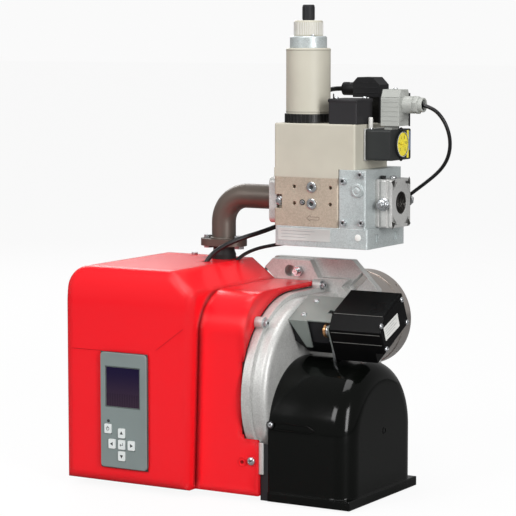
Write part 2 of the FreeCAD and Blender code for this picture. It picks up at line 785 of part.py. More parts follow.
def servo_bracket():
    body = new_body(0, d.servo_y, d.servo_z, Rotation(Vector(1, 0, 0), number(d.servo_tilt)))
    end = d.servo_start - d.fit_gap
    top = sketch(body, "YZ", d.casing_right)
    rectangle(top, 0, d.bracket_over, d.bracket_back, d.bracket_sheet)
    pad(body, top, end - d.casing_right)
    side = sketch(body, "YZ", end - d.bracket_sheet)
    length, height = d.bracket_back - d.servo_front, d.bracket_over - d.servo_under
    rectangle(side, d.servo_front, d.servo_under, length, height)
    pad(body, side, d.bracket_sheet)
    tab = sketch(body, "XZ", 0)
    left, low = d.casing_right, d.bracket_over - d.tab_drop
    outline(tab, [
        (left + d.tab_inset, low), (left + d.tab_inset + d.tab_foot, low),
        (left + d.tab_head, d.bracket_over + d.bracket_sheet), (left, d.bracket_over + d.bracket_sheet),
    ])
    pad(body, tab, d.bracket_sheet, back=True)
    hole = sketch(body, "YZ", end - d.bracket_sheet)
    circle(hole, 0, 0, d.hub_radius_1 + 1.5)
    pocket(body, hole, d.bracket_sheet)
    notch = sketch(body, "XY", d.bracket_over)
    rectangle(notch, end - d.bracket_notch * 2, d.bracket_back / 3, d.bracket_notch, d.bracket_notch)
    pocket(body, notch, d.bracket_sheet)
    keep("servo_bracket", body)


def servo_pedestal():
    body = new_body(0, d.servo_y, d.servo_z, Rotation(Vector(1, 0, 0), number(d.servo_tilt)))
    block = sketch(body, "YZ", d.casing_right)
    outline(block, [
        (d.bracket_sheet + d.fit_gap, d.servo_under), (d.bracket_back / 2, d.servo_foot - d.pedestal_drop),
        (d.bracket_back, d.servo_foot), (d.bracket_back, d.bracket_over - d.fit_gap),
        (d.bracket_sheet + d.fit_gap, d.bracket_over - d.fit_gap),
    ])
    pad(body, block, d.pedestal_end - d.casing_right)
    keep("servo_pedestal", body)


# Cover: a moulded hood over casing, motor and controls, open at the back and round the casing's rim
d.set(cover_left=-259, cover_right=33, cover_bottom=-195, cover_top=97, cover_wall=2.5, cover_gap=0.5)
d.set(bulge_front=-243, bulge_foot=-64, bulge_side=-56, ridge_x=-92, roll_start=45, roll_back=11)
d.set(cover_corner=30, cover_round=7, shelf_z=70, wing_front=-222, wing_roll=57, wing_low=-120)
d.set(cover_lip=10, lip_end=-100, rim_clearance=0.4)
d.set(screw_x=24, screw_z=-148.5, screw_radius=2.5, screw_head=4.5, screw_head_height=3)
d.set(top_screw_x=-183, top_screw_back=8)
cover_rear = head_front - d.cover_gap
tab_front = d.wing_front + d.cover_wall + d.cover_gap


def hood(inset, rear):
    body = new_body()
    low, front = d.cover_bottom + inset, d.bulge_front + inset
    left, top = d.cover_left + inset, d.cover_top - inset
    corner = d.cover_corner - inset
    side_top = d.shelf_z - inset / 2
    bulge = sketch(body, "XZ", front)
    outline(bulge, [
        (left, low), (d.bulge_foot - inset, low), (d.bulge_side - inset, side_top),
        (d.ridge_x - inset / 3, top), (left + corner, top), (left, top - corner, corner, 1),
    ])
    pad(body, bulge, rear - front)
    roll_height = top - d.roll_start
    radius = roll_height * roll_height / (d.roll_back * 2) + d.roll_back / 2
    roll = sketch(body, "YZ", left - 1)
    outline(roll, [
        (front, d.roll_start), (front + d.roll_back, top, radius, -1), (front + d.roll_back, top + 5),
        (front - 5, top + 5), (front - 5, d.roll_start),
    ])
    pocket(body, roll, d.bulge_side - left + 2)
    wing_front, shelf = d.wing_front + inset, d.shelf_z - inset
    wing = sketch(body, "YZ", d.bulge_foot - d.cover_round * 2)
    outline(wing, [
        (rear, low), (rear, shelf), (wing_front + d.wing_roll, shelf),
        (wing_front, shelf - d.wing_roll, d.wing_roll, 1), (wing_front, low),
    ])
    end = d.cover_right - inset
    pad(body, wing, end - d.bulge_foot + d.cover_round * 2)
    return body


def burner_cover():
    outer = hood(0, cover_rear)
    in_front = lambda edge: edge.BoundBox.YMax < number(d.bulge_front + d.roll_back) + 0.1
    level = lambda edge: near(edge.BoundBox.ZMin, d.roll_start) and near(edge.BoundBox.ZMax, d.roll_start)
    soften("Fillet", outer, d.cover_round, lambda edge: in_front(edge) and not level(edge))
    seam_left = d.casing_seam - d.casing_rim - d.rim_clearance
    inside = seam_left - d.cover_wall
    cheek = box(
        inside, d.bulge_front, d.wing_low - d.cover_wall, d.cover_right - inside, cover_rear - d.bulge_front,
        d.cover_top - d.wing_low,
    )
    inner = cut(hood(d.cover_wall, cover_rear - d.cover_wall), cheek)
    side = box(
        seam_left, d.bulge_front, d.wing_low, d.cover_right - seam_left + 1,
        cover_rear - d.bulge_front + 1, d.cover_top - d.wing_low,
    )
    around = new_body(0, d.fan_y, d.fan_z)
    clear = sketch(around, "YZ", inside - 1)
    outline(clear, scroll(-d.tray_gap))
    pad(around, clear, d.cover_right - inside + 2)
    lip, back = d.cover_lip + d.cover_wall, cover_rear - d.cover_wall - 1
    opening = box(
        d.cover_left + lip, back, d.cover_bottom + lip, d.lip_end - d.cover_left, d.cover_wall + 2,
        d.cover_top - d.cover_bottom - lip * 2,
    )
    behind = new_body()
    rest = sketch(behind, "XZ", back)
    wall = d.cover_wall
    outline(rest, [
        (d.lip_end, d.cover_bottom + wall), (d.cover_right - wall, d.cover_bottom + wall),
        (d.cover_right - wall, d.shelf_z - wall), (d.bulge_side - wall, d.shelf_z - wall),
        (d.ridge_x - wall / 3, d.cover_top - wall), (d.lip_end, d.cover_top - wall),
    ])
    pad(behind, rest, d.cover_wall + 2)
    window = box(
        d.panel_left + d.panel_lap, d.bulge_front - 1, d.panel_low + d.panel_lap,
        d.panel_width - d.panel_lap * 2, d.cover_wall + 2, d.panel_height - d.panel_lap * 2,
    )
    seal = d.head_pipe_radius + d.seal_wall + d.fit_gap
    pipe = rod("Z", d.pipe_x, d.train_y, d.cover_top - 5, seal, 10)
    tab_slot = box(
        d.cover_right - d.cover_wall - 1, tab_front - d.fit_gap, d.tab_low - d.fit_gap, d.cover_wall + 2,
        d.tab_thickness + d.fit_gap * 2, d.tab_high - d.tab_low + d.fit_gap * 2,
    )
    screws = rod("Y", d.screw_x, d.wing_front - 1, d.screw_z, d.screw_radius + d.fit_gap, 6)
    top_hole = rod(
        "Z", d.top_screw_x, cover_rear - d.top_screw_back, d.cover_top - 5,
        d.screw_radius + d.fit_gap / 3, 10,
    )
    entries = [rod("Z", x, y, d.cover_top - 5, radius, 10) for x, y, radius in cable_entries()]
    openings = [side, around, opening, behind, window, pipe, tab_slot, screws, top_hole, *entries]
    keep("burner_cover", cut(cut(outer, inner), *openings))


def cover_screws():
    head, height = d.screw_head, d.screw_head_height
    shank = d.cover_wall + d.cover_gap + d.tab_thickness
    front = fuse(
        rod("Y", d.screw_x, d.wing_front - height, d.screw_z, head, height),
        rod("Y", d.screw_x, d.wing_front - height, d.screw_z, d.screw_radius, height + shank),
    )
    y = cover_rear - d.top_screw_back
    top = fuse(
        rod("Z", d.top_screw_x, y, d.cover_top, head, height),
        rod("Z", d.top_screw_x, y, d.cover_top - head, d.screw_radius, head + height),
    )
    keep("cover_screws", group(front, top))


# Control panel in the cover's front
d.set(panel_left=-199, panel_low=-173.5, panel_width=74, panel_height=157, panel_depth=5)
d.set(panel_lap=4, panel_round=5, window_left=-191, window_low=-91, window_width=56, window_height=56)
d.set(window_gap=0.3, window_recess=1, key_width=11, key_height=13, key_proud=1.5, key_travel=0.8)
d.set(key_column=-164.2, key_row=-140.8, key_pitch=15.6, reset_x=-186.3, reset_z=-120.5, key_round=1.5)
d.set(unit_depth=46, unit_round=3, panel_bevel=0.8)
panel_front = d.bulge_front - d.panel_depth
KEYS = {
    "key_reset": (d.reset_x, d.reset_z),
    "key_up": (d.key_column, d.key_row + d.key_pitch),
    "key_left": (d.key_column - d.key_pitch, d.key_row),
    "key_enter": (d.key_column, d.key_row),
    "key_right": (d.key_column + d.key_pitch, d.key_row),
    "key_down": (d.key_column, d.key_row - d.key_pitch),
}


def upright(edge):
    return runs_along(edge, "Y")


def panel_frame():
    body = new_body()
    plate = sketch(body, "XZ", panel_front)
    rectangle(plate, d.panel_left, d.panel_low, d.panel_width, d.panel_height)
    pad(body, plate, d.panel_depth)
    soften("Fillet", body, d.panel_round, upright)
    front = number(panel_front)
    soften("Chamfer", body, d.panel_bevel, lambda edge: near(edge.BoundBox.YMax, front))
    holes = sketch(body, "XZ", panel_front)
    rectangle(holes, d.window_left, d.window_low, d.window_width, d.window_height)
    for x, z in KEYS.values():
        width, height = d.key_width + d.fit_gap * 2, d.key_height + d.fit_gap * 2
        rectangle(holes, x - width / 2, z - height / 2, width, height)
    pocket(body, holes, d.panel_depth)
    keep("panel_frame", body)


def display_window():
    gap = d.window_gap
    body = new_body()
    pane = sketch(body, "XZ", panel_front + d.window_recess)
    rectangle(
        pane, d.window_left + gap, d.window_low + gap, d.window_width - gap * 2, d.window_height - gap * 2,
    )
    pad(body, pane, d.panel_depth - d.window_recess)
    keep("display_window", body)


def control_unit():
    inset = d.panel_lap + 1
    body = new_body()
    case = sketch(body, "XZ", d.bulge_front + d.fit_gap)
    rectangle(
        case, d.panel_left + inset, d.panel_low + inset, d.panel_width - inset * 2,
        d.panel_height - inset * 2,
    )
    pad(body, case, d.unit_depth)
    soften("Fillet", body, d.unit_round, upright)
    keep("control_unit", body)


def keys():
    depth = d.panel_depth + d.key_proud - d.key_travel
    for label, (x, z) in KEYS.items():
        body = new_body(x, panel_front - d.key_proud, z)
        cap = sketch(body, "XZ", 0)
        rectangle(cap, -d.key_width / 2, -d.key_height / 2, d.key_width, d.key_height)
        pad(body, cap, depth)
        soften("Fillet", body, d.key_round, upright)
        keep(label, body)


# Gas train: elbow, valve with its coil and brake, switch and connectors
d.set(pipe_x=-121, train_z=186, elbow_radius=16.85, elbow_wall=3.2, elbow_bend=38, elbow_end=-33)
d.set(oval_low=115, oval_height=10, oval_length=68, oval_width=44, oval_bolt=25)
d.set(bolt_radius=4, bolt_head=13)
d.set(seal_wall=3.6, seal_neck_wall=1.6, seal_foot=6)
d.set(valve_left=-8, valve_front=-109, valve_back=0, valve_low=153, valve_high=219, valve_right=90)
d.set(outlet_plate=12, outlet_width=96, outlet_height=62, outlet_hub=22, outlet_round=8)
d.set(base_right=134, base_low=126, block_right=131, block_back=-4, block_high=231)
d.set(inlet_right=156, inlet_front=-81, inlet_back=-27, inlet_low=153.3, inlet_high=218)
d.set(inlet_bore=15.15, inlet_depth=45, inlet_pocket=12, inlet_margin=4)
d.set(groove_width=4, groove_depth=1.5)
d.set(tapping_across=55, tapping_rise=22.4, tapping_radius=2.6, tapping_depth=8, tapping_middle=42)
d.set(pocket_width=12, pocket_low=176, pocket_high=195, pocket_depth=12)
d.set(plug_shift=9.5, plug_radius=7, plug_proud=1)
d.set(base_slot=10, base_slot_rise=8, base_slot_depth=3)
d.set(strainer_inset=12, strainer_rise=18, strainer_radius=9, strainer_proud=2)
d.set(housing_right=115, housing_back=-14, housing_high=291, valve_round=3)
d.set(coil_x=25, coil_y=-74, coil_radius=30, coil_low=303, coil_high=391, collar_radius=32, rib_count=36)
d.set(brake_low_radius=25, brake_low_top=407, brake_cap_radius=19.5, brake_cap_top=428)
d.set(brake_stem_radius=8, brake_stem_top=449, brake_fit=0.3)
d.set(brake_foot_radius=12, brake_foot_height=8, brake_bore_radius=6, brake_bore_floor=2)
d.set(brake_bevel=1.5)
d.set(rib_depth=2, rib_width=2, coil_round=1.5, stem_bevel=1)
d.set(plunger_radius=10, plunger_length=72, plunger_fit=0.3)
d.set(terminal_left=72, terminal_front=-105, terminal_back=-58, terminal_high=323)
d.set(plug_left=77, plug_right=117, plug_front=-44, plug_back=-16, plug_low=325, plug_high=352)
d.set(plug_leg=100, plug_leg_end=115, gland_radius=9, gland_length=20, gland_y=-31, gland_z=336)
d.set(switch_plate=3, switch_end=155, switch_front=-85, switch_back=-25)
d.set(switch_low=243, switch_high=284, dial_radius=15.5, dial_thickness=3, dial_y=-55, dial_z=264)
d.set(dial_peg=4, dial_peg_length=6, dial_slot=2)
d.set(socket_left=138, socket_right=165, socket_front=-80, socket_back=-48, socket_high=337)
d.set(socket_seat=5, socket_gland=27, socket_gland_radius=11.5, socket_gland_z=317, socket_slope=12)


def gas_elbow():
    body = new_body(d.pipe_x + d.elbow_bend, d.train_y, d.train_z - d.elbow_bend)
    inner = d.elbow_radius - d.elbow_wall
    ring = sketch(body, "XY")
    for radius in (d.elbow_radius, inner):
        circle(ring, -d.elbow_bend, 0, radius)
    turned("Revolution", body, ring, "Y", 90)
    drop = d.train_z - d.elbow_bend - d.oval_low
    riser = sketch(body, "XY")
    for radius in (d.elbow_radius, inner):
        circle(riser, -d.elbow_bend, 0, radius)
    pad(body, riser, drop, back=True)
    run = sketch(body, "YZ")
    for radius in (d.elbow_radius, inner):
        circle(run, 0, d.elbow_bend, radius)
    pad(body, run, d.elbow_end - d.pipe_x - d.elbow_bend)
    plate, half = sketch(body, "XY", -drop), d.oval_width / 2
    reach = d.oval_length / 2 - half
    outline(plate, [
        (reach - d.elbow_bend, -half), (reach - d.elbow_bend + half, 0, half, 1),
        (reach - d.elbow_bend, half, half, 1), (-reach - d.elbow_bend, half),
        (-reach - d.elbow_bend - half, 0, half, 1), (-reach - d.elbow_bend, -half, half, 1),
    ])
    pad(body, plate, d.oval_height)
    holes = sketch(body, "XY", -drop)
    circle(holes, -d.elbow_bend, 0, inner)
    for side in (1, -1):
        circle(holes, d.oval_bolt * side - d.elbow_bend, 0, d.bolt_radius + d.fit_gap)
    pocket(body, holes, d.oval_height)
    keep("gas_elbow", body)


def elbow_bolts():
    bolts = []
    height = d.bolt_radius
    for side in (1, -1):
        x = d.pipe_x + d.oval_bolt * side
        shank = rod("Z", x, d.train_y, d.oval_low - height, d.bolt_radius, d.oval_height + height * 2)
        head = hexagon("Z", x, d.train_y, d.oval_low + d.oval_height, d.bolt_head, height)
        nut = hexagon("Z", x, d.train_y, d.oval_low - height, d.bolt_head, height)
        bolts.append(fuse(shank, head, nut))
    keep("elbow_bolts", group(*bolts))


def pipe_seal():
    body = new_body(d.pipe_x, d.train_y, d.cover_top)
    sleeve = sketch(body, "XZ")
    bore, height, foot = d.head_pipe_radius + d.fit_gap / 3, d.oval_low - d.cover_top, d.seal_foot
    wide, neck = d.head_pipe_radius + d.seal_wall, d.head_pipe_radius + d.seal_neck_wall
    outline(sleeve, [
        (bore, -foot), (wide, -foot), (wide, foot), (neck, foot * 2), (neck, height), (bore, height),
    ])
    turned("Revolution", body, sleeve, "Z")
    keep("pipe_seal", body)


def outlet_flange():
    body = new_body(0, d.train_y, 0)
    start = d.valve_left - d.outlet_plate
    plate = sketch(body, "YZ", start)
    rectangle(
        plate, -d.outlet_width / 2, d.train_z - d.outlet_height / 2, d.outlet_width, d.outlet_height,
    )
    pad(body, plate, d.outlet_plate)
    soften("Fillet", body, d.outlet_round, lambda edge: runs_along(edge, "X"))
    hub = sketch(body, "YZ", d.elbow_end)
    circle(hub, 0, d.train_z, d.outlet_hub)
    pad(body, hub, start - d.elbow_end)
    bore = sketch(body, "YZ", d.elbow_end)
    circle(bore, 0, d.train_z, d.elbow_radius - d.elbow_wall)
    pocket(body, bore, d.valve_left - d.elbow_end)
    keep("outlet_flange", body)


def block(label, left, right, front, back, low, high, rounding=None):
    body = new_body()
    shape = sketch(body, "XY", low)
    rectangle(shape, left, front, right - left, back - front)
    pad(body, shape, high - low)
    soften("Fillet", body, rounding or d.valve_round, lambda edge: runs_along(edge, "Z"))
    keep(label, body)
    return body


def valve_body():
    body = block(
        "valve_body", d.valve_left, d.valve_right, d.valve_front, d.valve_back, d.valve_low, d.valve_high,
    )
    middle, centre = (d.valve_left + d.valve_right) / 2 + d.plug_shift, d.valve_low + d.tapping_middle
    tappings = sketch(body, "XZ", d.valve_front)
    bosses = sketch(body, "XZ", d.valve_front)
    for rise in (-d.tapping_rise / 2, d.tapping_rise / 2):
        circle(bosses, middle, centre + rise, d.plug_radius)
        for across in (-d.tapping_across / 2, d.tapping_across / 2):
            circle(tappings, middle + across, centre + rise, d.tapping_radius)
    pocket(body, tappings, d.tapping_depth)
    pad(body, bosses, d.plug_proud, back=True)
    corner = sketch(body, "XZ", d.valve_front)
    rectangle(corner, d.valve_left, d.pocket_low, d.pocket_width, d.pocket_high - d.pocket_low)
    pocket(body, corner, d.pocket_depth)


def valve_base():
    body = block(
        "valve_base", d.valve_left + 1, d.base_right, d.valve_front, d.valve_back, d.base_low, d.valve_low,
    )
    slot = sketch(body, "YZ", d.base_right)
    for centre in (0.25, 0.75):
        y = d.valve_front + (d.valve_back - d.valve_front) * centre
        rectangle(slot, y - d.base_slot / 2, d.base_low + d.base_slot_rise, d.base_slot, d.base_slot)
    pocket(body, slot, d.base_slot_depth, back=True)


def inlet_block():
    body = block(
        "inlet_block", d.valve_right, d.block_right, d.valve_front, d.block_back, d.valve_low, d.block_high,
    )
    bore = sketch(body, "YZ", d.block_right)
    circle(bore, d.train_y, d.train_z, d.inlet_bore)
    pocket(body, bore, d.inlet_depth - (d.inlet_right - d.block_right), back=True)
    boss = sketch(body, "XZ", d.valve_front)
    circle(boss, d.block_right - d.strainer_inset, d.train_z + d.strainer_rise, d.strainer_radius)
    pad(body, boss, d.strainer_proud, back=True)


def inlet_flange():
    body = new_body()
    plate = sketch(body, "YZ", d.block_right)
    rectangle(
        plate, d.inlet_front, d.inlet_low, d.inlet_back - d.inlet_front, d.inlet_high - d.inlet_low,
    )
    depth = d.inlet_right - d.block_right
    pad(body, plate, depth)
    soften("Fillet", body, d.valve_round, lambda edge: runs_along(edge, "X"))
    pockets = sketch(body, "YZ", d.inlet_right)
    reach_y = (d.inlet_back - d.inlet_front) / 2 - d.inlet_margin
    reach_z = (d.inlet_high - d.inlet_low) / 2 - d.inlet_margin
    middle_z = (d.inlet_high + d.inlet_low) / 2
    size = d.inlet_pocket
    for side_y, side_z in ((1, 1), (-1, 1), (-1, -1), (1, -1)):
        y, z = d.train_y + reach_y * side_y, middle_z + reach_z * side_z
        corners = [(y, z), (y - size * side_y, z), (y, z - size * side_z)]
        outline(pockets, corners)
    pocket(body, pockets, d.inlet_margin, back=True)
    bore = sketch(body, "YZ", d.block_right)
    circle(bore, d.train_y, d.train_z, d.inlet_bore)
    pocket(body, bore, depth)
    grooves = sketch(body, "XZ", d.inlet_front)
    for step in (0.25, 0.75):
        left = d.block_right + depth * step - d.groove_width / 2
        rectangle(grooves, left, d.inlet_low, d.groove_width, d.inlet_high - d.inlet_low)
    pocket(body, grooves, d.groove_depth)
    keep("inlet_flange", body)


def flange_bolts():
    x, height = (d.block_right + d.inlet_right) / 2, d.bolt_radius
    front = hexagon("Y", x, d.inlet_front - height - 1, d.train_z, d.bolt_head - 2, height + 1)
    back = hexagon("Y", x, d.inlet_back, d.train_z, d.bolt_head - 2, height)
    bolts = [front, back]
    plate = d.valve_left - d.outlet_plate
    for side_y in (1, -1):
        for side_z in (1, -1):
            y = d.train_y + (d.outlet_width / 2 - d.bolt_head) * side_y
            z = d.train_z + (d.outlet_height / 2 - d.bolt_head) * side_z
            bolts.append(hexagon("X", plate - height, y, z, d.bolt_head - 3, height))
    keep("flange_bolts", group(*bolts))


def valve_housing():
    body = block(
        "valve_housing", d.valve_left, d.housing_right, d.valve_front, d.housing_back, d.block_high,
        d.housing_high,
    )
    step = sketch(body, "XY", d.valve_high)
    rectangle(
        step, d.valve_left, d.valve_front, d.valve_right - d.valve_left, d.housing_back - d.valve_front,
    )
    pad(body, step, d.block_high - d.valve_high)
    low, back = d.housing_high, d.housing_back
    soften("Fillet", body, d.valve_round - 1, lambda edge: near(edge.BoundBox.ZMin, low))


def on_stem(label, low, high, radius, bore=None):
    body = new_body(d.coil_x, d.coil_y, 0)
    drawing = sketch(body, "XY", low)
    circle(drawing, 0, 0, radius)
    if bore is not None:
        circle(drawing, 0, 0, bore)
    pad(body, drawing, high - low)
    keep(label, body)
    return body


def coil_ring():
    body = on_stem("coil_ring", d.housing_high, d.coil_low, d.collar_radius - d.rib_depth / 2)
    rib = sketch(body, "XY", d.housing_high)
    rectangle(rib, d.collar_radius - d.rib_depth, -d.rib_width / 2, d.rib_depth, d.rib_width)
    repeat(body, [pad(body, rib, d.coil_low - d.housing_high)], "Z", d.rib_count)


def solenoid_coil():
    bore = d.plunger_radius + d.plunger_fit
    body = on_stem("solenoid_coil", d.coil_low, d.coil_high, d.coil_radius, bore)
    soften("Fillet", body, d.coil_round, lambda edge: near(edge.BoundBox.ZMin, d.coil_high))


def valve_plunger():
    low = d.coil_low + d.plunger_fit
    on_stem("valve_plunger", low, low + d.plunger_length, d.plunger_radius)


# Hydraulic brake on the coil: a fixed ring, a cap that sets the full flow and a stem for the start flow
def brake_ring():
    top = d.brake_low_top
    body = on_stem("brake_ring", d.coil_high, top, d.brake_low_radius)
    soften("Chamfer", body, d.brake_bevel, lambda edge: near(edge.BoundBox.ZMin, top))
    foot = sketch(body, "XY", top)
    circle(foot, 0, 0, d.brake_foot_radius)
    pad(body, foot, d.brake_foot_height)
    bore = sketch(body, "XY", top + d.brake_bore_floor)
    circle(bore, 0, 0, d.brake_bore_radius)
    pocket(body, bore, d.brake_foot_height)


def brake_cap():
    body = on_stem("brake_cap", d.brake_low_top + d.brake_fit, d.brake_cap_top, d.brake_cap_radius)
    soften("Chamfer", body, d.brake_bevel, lambda edge: near(edge.BoundBox.ZMin, d.brake_cap_top))
    hollow = sketch(body, "XY", d.brake_low_top)
    circle(hollow, 0, 0, d.brake_foot_radius + d.brake_fit)
    pocket(body, hollow, d.brake_foot_height + d.brake_fit)
    neck = sketch(body, "XY", d.brake_low_top)
    circle(neck, 0, 0, d.brake_stem_radius + d.brake_fit)
    pocket(body, neck, d.brake_cap_top - d.brake_low_top)


def brake_stem():
    low = d.brake_low_top + d.brake_foot_height + d.brake_fit
    body = on_stem("brake_stem", low, d.brake_stem_top, d.brake_stem_radius)
    spigot = sketch(body, "XY", d.brake_low_top + d.brake_bore_floor + 1)
    circle(spigot, 0, 0, d.brake_bore_radius - d.brake_fit)
    pad(body, spigot, d.brake_foot_height - d.brake_bore_floor)
    soften("Chamfer", body, d.stem_bevel, lambda edge: near(edge.BoundBox.ZMin, d.brake_stem_top))


def terminal_box():
    block(
        "terminal_box", d.terminal_left, d.housing_right, d.terminal_front, d.terminal_back,
        d.housing_high, d.terminal_high,
    )


def valve_connector():
    plug = box(
        d.plug_left, d.plug_front, d.plug_low, d.plug_right - d.plug_left, d.plug_back - d.plug_front,
        d.plug_high - d.plug_low,
    )
    leg = box(
        d.plug_leg, d.plug_front + 3, d.housing_high, d.plug_leg_end - d.plug_leg,
        d.plug_back - d.plug_front - 6, d.plug_low - d.housing_high + 1,
    )
    gland = rod(
        "X", d.plug_left - d.gland_length, d.gland_y, d.gland_z, d.gland_radius, d.gland_length + 1,
    )
    keep("valve_connector", fuse(plug, leg, gland))


def pressure_switch():
    body = new_body()
    start = d.housing_right
    plate = sketch(body, "YZ", start)
    rectangle(
        plate, d.switch_front + 2, d.switch_low + 2, d.switch_back - d.switch_front - 4,
        d.switch_high - d.switch_low - 4,
    )
    pad(body, plate, d.switch_plate)
    case = sketch(body, "YZ", start + d.switch_plate)
    rectangle(
        case, d.switch_front, d.switch_low, d.switch_back - d.switch_front, d.switch_high - d.switch_low,
    )
    pad(body, case, d.switch_end - start - d.switch_plate)
    soften("Fillet", body, d.valve_round, lambda edge: runs_along(edge, "X"))
    spot = sketch(body, "YZ", d.switch_end)
    circle(spot, d.dial_y, d.dial_z, d.dial_peg + d.fit_gap)
    pocket(body, spot, d.dial_peg_length, back=True)
    keep("pressure_switch", body)


def pressure_dial():
    body = new_body(0, d.dial_y, d.dial_z)
    start = d.switch_end + d.fit_gap
    disc(body, start, d.dial_thickness, d.dial_radius)
    disc(body, start - d.dial_peg_length + 1, d.dial_peg_length, d.dial_peg)
    slot = sketch(body, "YZ", start + d.dial_thickness)
    rectangle(slot, -d.dial_radius / 2, -d.dial_slot / 2, d.dial_radius, d.dial_slot)
    pocket(body, slot, d.dial_thickness / 2, back=True)
    keep("pressure_dial", body)


def switch_connector():
    body = new_body()
    low = d.switch_high + d.socket_seat
    case = sketch(body, "YZ", d.socket_left)
    outline(case, [
        (d.socket_front, low), (d.socket_back, low), (d.socket_back, d.socket_high - d.socket_slope),
        (d.socket_back - d.socket_slope / 2, d.socket_high), (d.socket_front + d.socket_slope / 2, d.socket_high),
        (d.socket_front, d.socket_high - d.socket_slope),
    ])
    pad(body, case, d.socket_right - d.socket_left)
    neck = sketch(body, "XY", d.switch_high)
    rectangle(
        neck, d.socket_left + 3, d.socket_front + 5, d.switch_end - d.socket_left - 6,
        d.socket_back - d.socket_front - 10,
    )
    pad(body, neck, d.socket_seat)
    gland = sketch(body, "YZ", d.socket_right)
    y = (d.socket_front + d.socket_back) / 2
    circle(gland, y, d.socket_gland_z, d.socket_gland_radius)
    pad(body, gland, d.socket_gland)
    keep("switch_connector", body)


# Firing head inside the blast tube, fed by the pipe that comes down inside the cover
d.set(head_pipe_wall=2.6, pipe_turn=25, pipe_end=60)
d.set(nozzle_fit=0.3, nozzle_wall=2.3, nozzle_start=-20, nozzle_cone=95, nozzle_end=118, nozzle_radius=27)
d.set(port_radius=2.5, port_count=8, disc_gap=8.5, disc_at=110, disc_thickness=1.5, vane_count=12)
d.set(electrode_ring=38, ceramic_radius=5, ceramic_start=25, ceramic_end=96, wire_radius=1.3, wire_end=126)
d.set(slot_from_nozzle=16, slot_from_edge=4, air_slot=3, wire_room=1)
d.set(collar_at=45, collar_length=10, collar_wall=3, arm_width=4)
ELECTRODES = (75, 105, 195)


# An electrode's place on its ring, from its angle
def on_ring(angle):
    turn = math.radians(angle)
    return d.electrode_ring * math.cos(turn), d.electrode_ring * math.sin(turn)


# Straight runs joined by tangent arcs, each as large as its two runs allow unless a bend is given
def route(points, bend=None):
    corners = [Vector(*(number(value) for value in point)) for point in points]
    edges, radii, start = [], [], corners[0]
    for before, corner, after in zip(corners, corners[1:], corners[2:]):
        arriving, leaving = (corner - before), (after - corner)
        half_turn = arriving.getAngle(leaving) / 2
        shorter = min(arriving.Length, leaving.Length)
        radius = number(bend) if bend is not None else 0.45 * shorter / math.tan(half_turn)
        reach = radius * math.tan(half_turn)
        first = corner - arriving.normalize() * reach
        last = corner + leaving.normalize() * reach
        inward = (first + last) * 0.5 - corner
        middle = corner + inward * ((radius / math.cos(half_turn) - radius) / inward.Length)
        edges.append(Part.LineSegment(start, first).toShape())
        edges.append(Part.Arc(first, middle, last).toShape())
        radii.append(radius)
        start = last
    edges.append(Part.LineSegment(start, corners[-1]).toShape())
    return Part.Wire(edges), radii


def swept(path, radius):
    start = path.Vertexes[0].Point
    direction = path.Edges[0].tangentAt(path.Edges[0].FirstParameter)
    ring = Part.Wire(Part.Circle(start, direction, number(radius)).toShape())
    return path.makePipeShell([ring], True, False)


def tube(label, points, radius, inner=None, bend=None):
    path, radii = route(points, bend)
    shape = swept(path, radius)
    if inner is not None:
        shape = shape.cut(swept(path, inner))
    feature = doc.addObject("Part::Feature", label)
    feature.Shape = shape
    keep(label, feature)
    return path, radii


def gas_head_pipe():
    x, y, top, end = d.pipe_x, d.train_y, d.oval_low, d.pipe_end
    points = [(x, y, top), (x, y, 0), (0, y, 0), (0, end, 0)]
    tube("gas_head_pipe", points, d.head_pipe_radius, d.head_pipe_radius - d.head_pipe_wall, d.pipe_turn)


def gas_nozzle():
    body = new_body()
    bore = d.head_pipe_radius + d.nozzle_fit
    outer, wall, wide = bore + d.nozzle_wall, d.nozzle_wall, d.nozzle_radius
    shell = sketch(body, "XY")
    neck = d.nozzle_end - d.nozzle_cone
    outline(shell, [
        (bore, d.nozzle_start), (outer, d.nozzle_start), (outer, d.nozzle_cone),
        (wide, d.nozzle_cone + neck / 2), (wide, d.nozzle_end), (0, d.nozzle_end),
        (0, d.nozzle_end - wall), (wide - wall, d.nozzle_end - wall),
        (wide - wall, d.nozzle_cone + neck / 2 + wall / 2), (bore, d.nozzle_cone + wall / 2),
    ])
    turned("Revolution", body, shell, "Y")
    port = sketch(body, "YZ", wide - wall - 1)
    circle(port, d.nozzle_end - wall - d.port_radius - 0.5, 0, d.port_radius)
    repeat(body, [pocket(body, port, wall + 2)], "Y", d.port_count)
    keep("gas_nozzle", body)


def diffuser_disc():
    body = new_body()
    edge = d.tube_radius - d.tube_wall - d.disc_gap
    plate = sketch(body, "XZ", d.disc_at)
    circle(plate, 0, 0, edge)
    circle(plate, 0, 0, d.nozzle_radius + d.fit_gap / 3)
    pad(body, plate, d.disc_thickness)
    slot = sketch(body, "XZ", d.disc_at)
    length = edge - d.nozzle_radius - d.slot_from_nozzle - d.slot_from_edge
    rectangle(slot, d.nozzle_radius + d.slot_from_nozzle, -d.air_slot / 2, length, d.air_slot)
    repeat(body, [pocket(body, slot, d.disc_thickness)], "Y", d.vane_count)
    holes = sketch(body, "XZ", d.disc_at)
    for angle in ELECTRODES:
        x, z = on_ring(angle)
        circle(holes, x, z, d.wire_radius + d.wire_room)
    pocket(body, holes, d.disc_thickness)
    keep("diffuser_disc", body)


